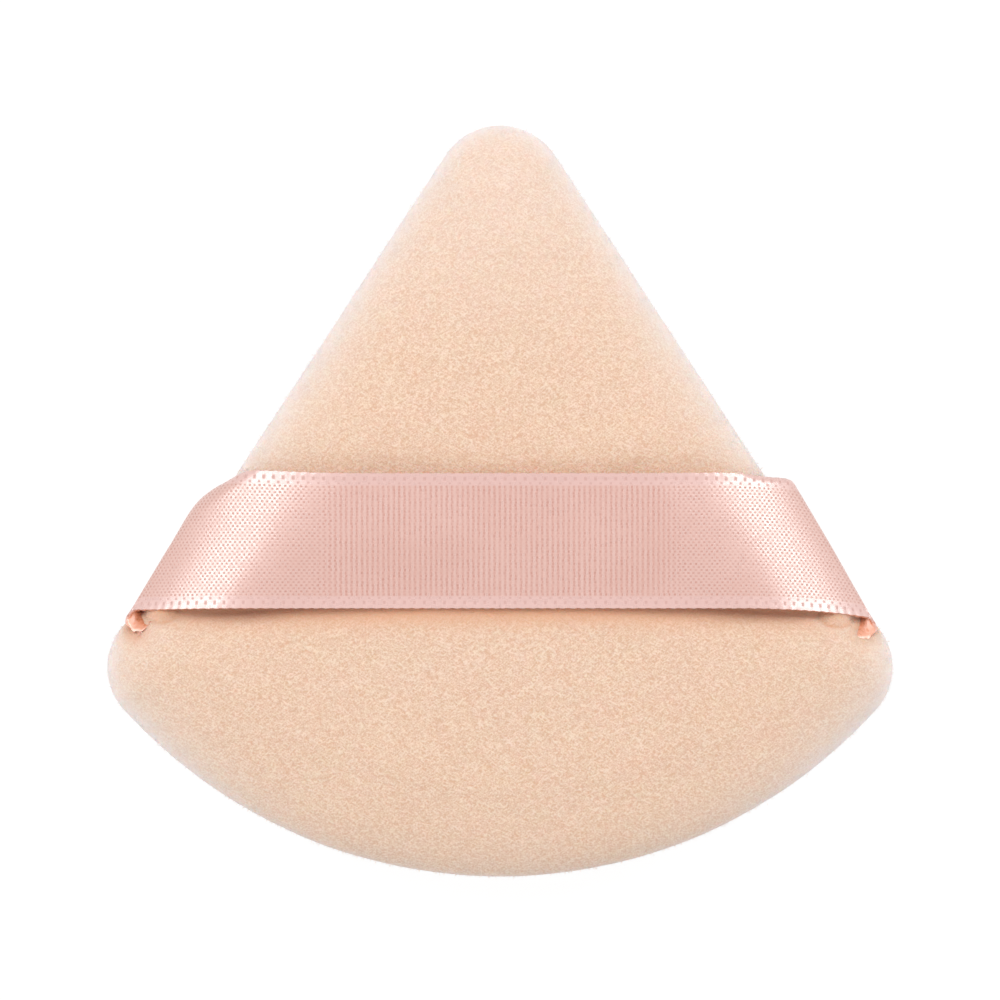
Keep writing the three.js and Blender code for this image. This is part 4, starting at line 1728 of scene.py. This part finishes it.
@dataclass
class FingerRibbon:
    """The satin ribbon: flat over the pad, down a slope at each side, folded under and
    sewn into the seam. It is built as two halves that meet in its middle."""

    pad: Pad
    width: float = 12.7 * MM
    thickness: float = 0.25 * MM
    from_bottom: float = 32.1 * MM
    rise: float = 1 * MM
    slope_radius: float = 16 * MM
    slope_turn: float = math.radians(45)
    overhang: float = 1.5 * MM
    tail: float = 4 * MM
    columns: int = 300
    rows: int = 44
    sharp_from: float = math.radians(60)
    loop_pitch: float = 0.95 * MM
    loop_out: float = 0.05 * MM
    loop_thick: float = 0.05 * MM
    row_spread: float = 0.8
    edge_width: float = 0.9 * MM
    edge_least: float = 0.35
    wave_seed: int = 5
    wave: float = 0.14 * MM
    wave_cell: tuple[float, ...] = (11 * MM, 7 * MM, 5 * MM)
    wave_from: float = 40 * MM
    wave_fade: tuple[float, float] = (8 * MM, 2 * MM)
    tucked_over: tuple[float, float] = (0.55 * math.pi, 0.85 * math.pi)
    drawn_from: float = 1 * MM
    roll_across: tuple[float, float] = (-0.45, 0.25)
    roll_along: tuple[float, float] = (6 * MM, 11.5 * MM)
    scroll_across: tuple[float, float] = (0.5, 1)
    scroll_along: tuple[float, float] = (0, 0.9)
    scroll_knots: tuple[float, ...] = (0, 0.93, 1.87, 2.8, 3.7, 4.6, 5.6, 7.1)
    scroll_in: tuple[float, ...] = (0, -0.85, -0.65, 0.1, 0.95, 1.3, 1.5, 2.3)
    scroll_down: tuple[float, ...] = (0, 0.8, 1.6, 2.0, 1.7, 1.0, 0.7, 1.0)
    scroll_height: tuple[float, ...] = (2.03, 1.95, 2.05, 2.3, 2.5, 2.1, 0.9, 0.05)
    sag: float = 0.3 * MM
    sag_across: tuple[float, float] = (-0.1, 1)
    sag_along: tuple[float, float] = (-3 * MM, 5 * MM)
    fray_seed: int = 61
    frays: int = 12
    fray_length: float = 1.6 * MM
    fray_radius: float = 0.06 * MM
    fray_from: float = 0.2 * MM
    fray_to: float = 1.7 * MM
    fray_spread: float = 0.45
    fray_rise: float = 0.8
    drapes: dict[Hand, Drape] = field(default_factory=lambda: {
        Hand.LEFT: Drape(0.85, 0.3 * MM, 0.7 * MM, (21.7 * MM, -7.8 * MM), 9.5 * MM, 1.1 * MM),
        Hand.RIGHT: Drape(0, 0.5 * MM, 0.4 * MM, (26.8 * MM, 0.3 * MM), 1.4 * MM, 0.6 * MM),
    })

    @cached_property
    def centre_y(self) -> float:
        """Where the ribbon's centre line lies."""
        return self.pad.outline.bottom_y + self.from_bottom

    @cached_property
    def top_z(self) -> float:
        """The height of the ribbon's middle surface over the pad."""
        return self.pad.seam_z + self.pad.front_crown + self.rise + self.thickness / 2

    @cached_property
    def slope_drop(self) -> float:
        """How far the slope comes down."""
        return self.slope_radius * (1 - math.cos(self.slope_turn))

    @cached_property
    def fold_radius(self) -> float:
        """The radius of the fold that ends in the seam's plane."""
        return (self.top_z - self.pad.seam_z - self.slope_drop) / (1 + math.cos(self.slope_turn))

    @cached_property
    def slope_run(self) -> float:
        """The slope's length."""
        return self.slope_radius * self.slope_turn

    @cached_property
    def fold_run(self) -> float:
        """The fold's length."""
        return self.fold_radius * (math.pi - self.slope_turn)

    @cached_property
    def fold_reach(self) -> float:
        """How far out the fold's axis lies from the flat."""
        return (self.slope_radius - self.fold_radius) * math.sin(self.slope_turn)

    @cached_property
    def side_from_flat(self) -> float:
        """How far out the pad's side lies from the flat."""
        return self.fold_reach + self.fold_radius - self.overhang

    @cached_property
    def flat_half(self) -> float:
        """Half the length of the flat middle, along the centre line.

        Returns:
            The length, in metres.
        """
        outline = self.pad.outline
        normal = outline.side_normal
        return (outline.side_reach - self.side_from_flat - self.centre_y * normal[1]) / normal[0]

    @cached_property
    def last_run(self) -> float:
        """The run at the cut end, inside the seam."""
        return self.slope_run + self.fold_run + self.fold_reach - self.side_from_flat + self.tail

    def section(self, run: np.ndarray) -> tuple[np.ndarray, np.ndarray, np.ndarray]:
        """The ribbon's course square to the side.

        Args:
            run: The length from the start of the slope.

        Returns:
            How far out, how far down, and the turn in radians.
        """
        slope = np.clip(run / self.slope_radius, 0, self.slope_turn)
        fold = np.clip((run - self.slope_run) / self.fold_radius, 0, math.pi - self.slope_turn)
        turn = slope + fold
        on_fold = run > self.slope_run
        straight = np.maximum(run - self.slope_run - self.fold_run, 0)
        reach = np.where(on_fold, self.fold_reach + self.fold_radius * np.sin(turn) - straight,
                         self.slope_radius * np.sin(slope) + np.minimum(run, 0))
        folded = self.fold_radius * (math.cos(self.slope_turn) - np.cos(turn))
        drop = np.where(on_fold, self.slope_drop + folded, self.slope_radius * (1 - np.cos(slope)))
        return reach, drop, turn

    def place(self, hand: Hand, run: np.ndarray, across: np.ndarray,
              lift: np.ndarray) -> np.ndarray:
        """Places on the ribbon.

        Args:
            hand: The side.
            run: The length from the start of the slope, square to the pad's side.
            across: How far from the ribbon's centre line, towards the apex.
            lift: How far out from the ribbon's middle surface.

        Returns:
            The places, one a row.
        """
        places = self.laid(hand, run, across, lift)
        edge, level = np.full(len(run), -self.width / 2), np.zeros(len(run))
        past = (run - self.slope_run) / MM
        offsets = np.column_stack([-hand.value * np.array(self.scroll_in),
                                   -np.array(self.scroll_down), self.scroll_height])
        scroll = MM * smooth_curve(past, np.array(self.scroll_knots), offsets)
        corner = self.laid(hand, np.array([self.slope_run]), edge[:1], level[:1])[0]
        scroll += [corner[0], corner[1], self.pad.seam_z]
        share = smooth_step(-2 * across / self.width, *self.scroll_across)
        share = share * smooth_step(past, *self.scroll_along)
        return places + share[:, None] * (scroll - self.laid(hand, run, edge, level))

    def laid(self, hand: Hand, run: np.ndarray, across: np.ndarray,
             lift: np.ndarray) -> np.ndarray:
        """Places on the ribbon before its lower corner scrolls up.

        Args:
            hand: The side.
            run: The length from the start of the slope, square to the pad's side.
            across: How far from the ribbon's centre line, towards the apex.
            lift: How far out from the ribbon's middle surface.

        Returns:
            The places, one a row.
        """
        normal, up = self.pad.outline.side_normal, self.pad.outline.side_up
        drape, part = self.drapes[hand], 2 * across / self.width
        reach, drop, turn = self.section(run)
        reach = reach + lift * np.sin(turn)
        along = (across - run * normal[1]) / normal[0]
        tucked = 1 - smooth_step(turn, *self.tucked_over)
        slope = np.clip(run / self.slope_radius, 0, self.slope_turn)
        droop = self.slope_radius * (slope - np.sin(slope)) * normal[1] / normal[0]
        along = along + drape.level * tucked * droop
        drawn = drape.head_out * np.maximum(part, 0) - drape.foot_in * np.maximum(-part, 0)
        reach = reach + smooth_step(run, self.drawn_from, self.slope_run) * drawn
        plan = reach[:, None] * normal + along[:, None] * up + [self.flat_half, self.centre_y]
        held = smooth_step(part, *self.roll_across) * smooth_step(run, *self.roll_along)
        plan, sunk = self.roll_corner(drape, plan, held)
        sagged = smooth_step(-part, *self.sag_across) * (1 - smooth_step(run, *self.sag_along))
        height = self.top_z - drop - sunk * tucked + lift * np.cos(turn)
        return np.column_stack([hand.value * plan[:, 0], plan[:, 1], height - self.sag * sagged])

    def roll_corner(self, drape: Drape, plan: np.ndarray,
                    held: np.ndarray) -> tuple[np.ndarray, np.ndarray]:
        """Rolls the upper outer corner under.

        Args:
            drape: The end's shape.
            plan: The places in plan, as on the right side.
            held: How fully each place takes part, from 0 to 1.

        Returns:
            The places after the roll, and how far each sinks.
        """
        normal = self.pad.outline.side_normal
        away = plan - np.array(drape.roll_centre)
        lowest = math.atan2(normal[1], normal[0])
        lean = np.clip(np.arctan2(away[:, 1], away[:, 0]), lowest, math.pi / 2)
        out = np.column_stack([np.cos(lean), np.sin(lean)])
        past = np.maximum((away * out).sum(axis=1) - drape.arc_radius, 0) * held
        bend = np.minimum(past / drape.roll_radius, drape.roll_most)
        rest = past - bend * drape.roll_radius
        kept = drape.roll_radius * np.sin(bend) + rest * np.cos(bend)
        sunk = drape.roll_radius * (1 - np.cos(bend)) + rest * np.sin(bend)
        return plan - (past - kept)[:, None] * out, sunk

    def build(self, hand: Hand) -> bpy.types.Object:
        """Makes one half of the ribbon, as a thin closed mesh.

        Args:
            hand: The half's side.

        Returns:
            The half, in place.
        """
        normal = self.pad.outline.side_normal
        half = self.width / 2
        level = np.sin(np.linspace(-1, 1, self.rows + 1) * math.pi / 2 * self.row_spread)
        level = level / level[-1]
        across, share = np.meshgrid(half * level, np.linspace(0, 1, self.columns + 1))
        across, share = across.ravel(), share.ravel()
        first = -self.flat_half * normal[0] + across * normal[1]
        run = first + (self.last_run - first) * share
        along = self.flat_half + (run - across * normal[1]) / normal[0]
        edge = smooth_step(np.abs(across), half - self.edge_width, half)
        loops = 0.5 + 0.5 * np.sin(2 * math.pi * along / self.loop_pitch)
        wide = across + np.sign(across) * edge * loops * self.loop_out
        bulge = self.edge_least + (1 - self.edge_least) * loops
        thick = self.thickness / 2 + edge * bulge * self.loop_thick
        flat = np.column_stack([hand.value * along, across, np.zeros(len(along))])
        noise = LatticeNoise(self.wave_seed)
        sway = self.wave * noise.at(flat + self.wave_from, np.array(self.wave_cell))
        sway = sway * smooth_step(run, self.last_run - self.wave_fade[0], self.wave_fade[1])
        upper = self.place(hand, run, wide, sway + thick)
        lower = self.place(hand, run, wide, sway - thick)
        piece = self.skin(f"ribbon_{hand.name.lower()}_half", upper, lower)
        marks = flat / MM
        self.add_frays(piece, hand)
        end = [hand.value * (self.flat_half + self.last_run) / MM, 0, 0]
        loose = np.tile(end, (SPIKE_POINTS * self.frays, 1))
        add_values(piece, "ribbon_place", np.concatenate([marks, marks, loose]))
        # 1 on the underside, where the painted bounce glow goes; the frays take half
        under = np.repeat([0, 1, 0.5], [len(marks), len(marks), len(loose)])
        add_values(piece, "painted_under_glow", under)
        return piece

    def add_frays(self, piece: bpy.types.Object, hand: Hand) -> None:
        """Adds the loose threads that hang from the fold's lower end.

        Args:
            piece: A half of the ribbon.
            hand: Its side.
        """
        draws = np.random.default_rng(self.fray_seed + hand.value)
        end = self.slope_run + self.fold_run
        run = draws.uniform(end + self.fray_from, end + self.fray_to, self.frays)
        across = np.full(self.frays, -self.width / 2)
        roots = self.place(hand, run, across, np.zeros(self.frays))
        way = np.column_stack([draws.normal(0, self.fray_spread, self.frays),
                               -np.ones(self.frays),
                               draws.uniform(0, self.fray_rise, self.frays)])
        way = way / np.linalg.norm(way, axis=1, keepdims=True)
        length = self.fray_length * draws.uniform(0.5, 1, (self.frays, 1))
        add_loose(piece, *spikes(roots, roots + way * length, self.fray_radius))

    def skin(self, name: str, upper: np.ndarray, lower: np.ndarray) -> bpy.types.Object:
        """Closes two faces of a grid into a thin mesh.

        Args:
            name: The object's name.
            upper: The upper face's places, one a row, row by row across the ribbon.
            lower: The lower face's places.

        Returns:
            The object.
        """
        across, along = self.rows + 1, self.columns + 1
        top = np.arange(across * along).reshape(along, across)
        under = top + across * along

        def quads(a: np.ndarray, b: np.ndarray, c: np.ndarray, d: np.ndarray) -> list:
            """Four-sided faces from four arrays of numbers."""
            return np.stack([a.ravel(), b.ravel(), c.ravel(), d.ravel()], axis=1).tolist()

        faces = quads(top[:-1, :-1], top[1:, :-1], top[1:, 1:], top[:-1, 1:])
        faces += quads(under[:-1, :-1], under[:-1, 1:], under[1:, 1:], under[1:, :-1])
        rim = np.concatenate([top[0, :-1], top[:-1, -1], top[-1, :0:-1], top[:0:-1, 0]])
        base = rim + across * along
        faces += quads(rim, np.roll(rim, -1), np.roll(base, -1), base)
        piece = make_mesh(name, np.concatenate([upper, lower]), faces)
        piece.data.set_sharp_from_angle(angle=self.sharp_from)
        return piece

    def dress(self, piece: bpy.types.Object, hand: Hand, material: bpy.types.Material) -> None:
        """Gives a half its finish, fixes its place and hides the imported nodes that it stands for.

        Args:
            piece: A half of the ribbon.
            hand: Its side.
            material: Its finish.
        """
        piece.data.materials.append(material)
        normal = self.pad.outline.side_normal
        out = Vector((hand.value * normal[0], normal[1], 0))
        seam = Vector((hand.value * self.flat_half, self.centre_y, self.top_z))
        seam = seam + out * self.side_from_flat
        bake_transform(piece)
        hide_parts("finger_ribbon", f"ribbon_{hand.name.lower()}_end")


@dataclass
class Sewing:
    """The threads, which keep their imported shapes."""

    nodes: tuple[str, ...] = (
        "seam_needle_thread",
        "seam_bobbin_thread",
        "closing_thread",
        "ribbon_left_tack",
        "ribbon_right_tack",
    )

    def dress(self, material: bpy.types.Material) -> None:
        """Gives each thread its finish.

        Args:
            material: The finish.
        """
        for name in self.nodes:
            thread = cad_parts[name]
            thread.data.materials.clear()
            thread.data.materials.append(material)
            log.info("dressed %s", name)


@dataclass(frozen=True)
class SoftBox:
    """A large studio lamp: its direction from the object, distance, size and strength."""

    name: str
    turn: float
    height: float
    distance: float
    wide: float
    tall: float
    power: float

    def build(self) -> bpy.types.Object:
        """Makes the lamp, turned to the object.

        Returns:
            The lamp.
        """
        data = bpy.data.lights.new(self.name, "AREA")
        data.shape = "RECTANGLE"
        data.size, data.size_y = self.wide, self.tall
        data.energy = self.power
        lamp = bpy.data.objects.new(self.name, data)
        turn, height = math.radians(self.turn), math.radians(self.height)
        out = Vector((math.sin(turn) * math.cos(height), math.cos(turn) * math.cos(height),
                      math.sin(height)))
        lamp.location = out * self.distance
        lamp.rotation_euler = out.to_track_quat("Z", "Y").to_euler()
        bpy.context.scene.collection.objects.link(lamp)
        return lamp


@dataclass
class Studio:
    """The floor, the lamps and the camera, which looks straight down as the photograph does."""

    pixels_per_mm: float = 10.45
    frame_pixels: int = 1000
    camera_distance: float = 0.5
    camera_y: float = 0.1 * MM
    sensor: float = 36.0
    floor_size: float = 6.0
    world_light: float = 0.2
    floor_lit: float = 0.8
    floor_kept: float = 0.12
    floor_white: float = 0.93
    lamps: tuple[SoftBox, ...] = field(default_factory=lambda: (
        SoftBox("key_over_apex", 0, 55, 0.5, 0.35, 0.35, 0.88),
        SoftBox("left_box", -57, 38, 0.9, 0.3, 0.6, 3.0),
        SoftBox("right_box", 57, 30, 0.9, 0.3, 0.5, 2.8),
        SoftBox("left_fill", -112, 20, 0.9, 0.7, 0.7, 2.8),
        SoftBox("right_fill", 112, 20, 0.9, 0.7, 0.7, 2.5),
        SoftBox("low_fill", 180, 34, 0.9, 0.6, 0.6, 1.6),
    ))

    def build_camera(self, height: float) -> None:
        """Makes the camera over the middle of the puff.

        Args:
            height: The height of the plane that the photograph's scale is taken at.
        """
        data = bpy.data.cameras.new("camera")
        data.sensor_width = self.sensor
        wide = self.frame_pixels / self.pixels_per_mm * MM
        data.lens = self.sensor * self.camera_distance / wide
        camera = bpy.data.objects.new("camera", data)
        camera.location = (0, self.camera_y, height + self.camera_distance)
        bpy.context.scene.collection.objects.link(camera)
        bpy.context.scene.camera = camera

    def seen_mask(self, graph: Graph) -> bpy.types.NodeSocket:
        """1 for rays from the camera, from gloss and through glass, and 0 for light.

        Args:
            graph: The graph that the mask is for.

        Returns:
            The mask.
        """
        path = graph.add("LightPath")
        mask = graph.math("MAXIMUM", path.outputs["Is Camera Ray"], path.outputs["Is Glossy Ray"])
        return graph.math("MAXIMUM", mask, path.outputs["Is Transmission Ray"])

    def build_floor(self) -> None:
        """Makes a white floor that keeps the puff's shadow."""
        half = self.floor_size / 2
        corners = [(-half, -half, 0), (half, -half, 0), (half, half, 0), (-half, half, 0)]
        mesh = bpy.data.meshes.new("studio_floor")
        mesh.from_pydata(corners, [], [(0, 1, 2, 3)])
        floor = bpy.data.objects.new("studio_floor", mesh)
        bpy.context.scene.collection.objects.link(floor)
        material, graph = new_material("white_floor")
        lit, kept = (graph.add("BsdfDiffuse", {"Color": (grey, grey, grey, 1)})
                     for grey in (self.floor_lit, self.floor_kept))
        white = graph.add("Emission", {"Color": (1, 1, 1, 1), "Strength": self.floor_white})
        seen = graph.add("AddShader", {0: kept.outputs[0], 1: white.outputs[0]})
        mixed = graph.add("MixShader", {0: self.seen_mask(graph), 1: lit.outputs[0],
                                        2: seen.outputs[0]})
        finish_material(graph, mixed)
        mesh.materials.append(material)

    def build_world(self) -> None:
        """Makes an even light from all round, and white where it is seen."""
        world = bpy.data.worlds.new("studio_world")
        bpy.context.scene.world = world
        world.use_nodes = True
        world.node_tree.nodes.clear()
        graph = Graph(world.node_tree)
        light = graph.add("Background", {"Color": (1, 1, 1, 1), "Strength": self.world_light})
        seen = graph.add("Background", {"Color": (1, 1, 1, 1), "Strength": 1.0})
        mixed = graph.add("MixShader", {0: self.seen_mask(graph), 1: light.outputs[0],
                                        2: seen.outputs[0]})
        graph.add("OutputWorld", {"Surface": mixed.outputs[0]})

    def build(self, height: float) -> None:
        """Makes the whole studio.

        Args:
            height: The height of the plane that the photograph's scale is taken at.
        """
        bpy.context.scene.view_settings.view_transform = "Standard"
        self.build_camera(height)
        self.build_floor()
        self.build_world()
        for lamp in self.lamps:
            lamp.build()


def main() -> None:
    """Builds and dresses the puff, piece by piece, and lights it."""
    logging.basicConfig(level=logging.INFO, format="%(name)s: %(message)s")
    effects = Effects()
    pad = Pad()
    velour = VelourFinish(effects).build()
    settling = Settling(pad)
    for face in Face:
        cover = VelourCover(face, pad, settling)
        piece = cover.build()
        cover.dress(piece, velour)
        log.info("built %s with %d points", piece.name, len(piece.data.vertices))
    core = FoamCore(pad)
    core_piece = core.build()
    core.dress(core_piece, FoamFinish(effects).build())
    log.info("built %s", core_piece.name)
    ribbon = FingerRibbon(pad)
    satin = SatinFinish(effects).build()
    for hand in Hand:
        half = ribbon.build(hand)
        ribbon.dress(half, hand, satin)
        log.info("built %s with %d points", half.name, len(half.data.vertices))
    Sewing().dress(ThreadFinish(effects).build())
    Studio().build(pad.seam_z)


if __name__ == "__main__":
    main()
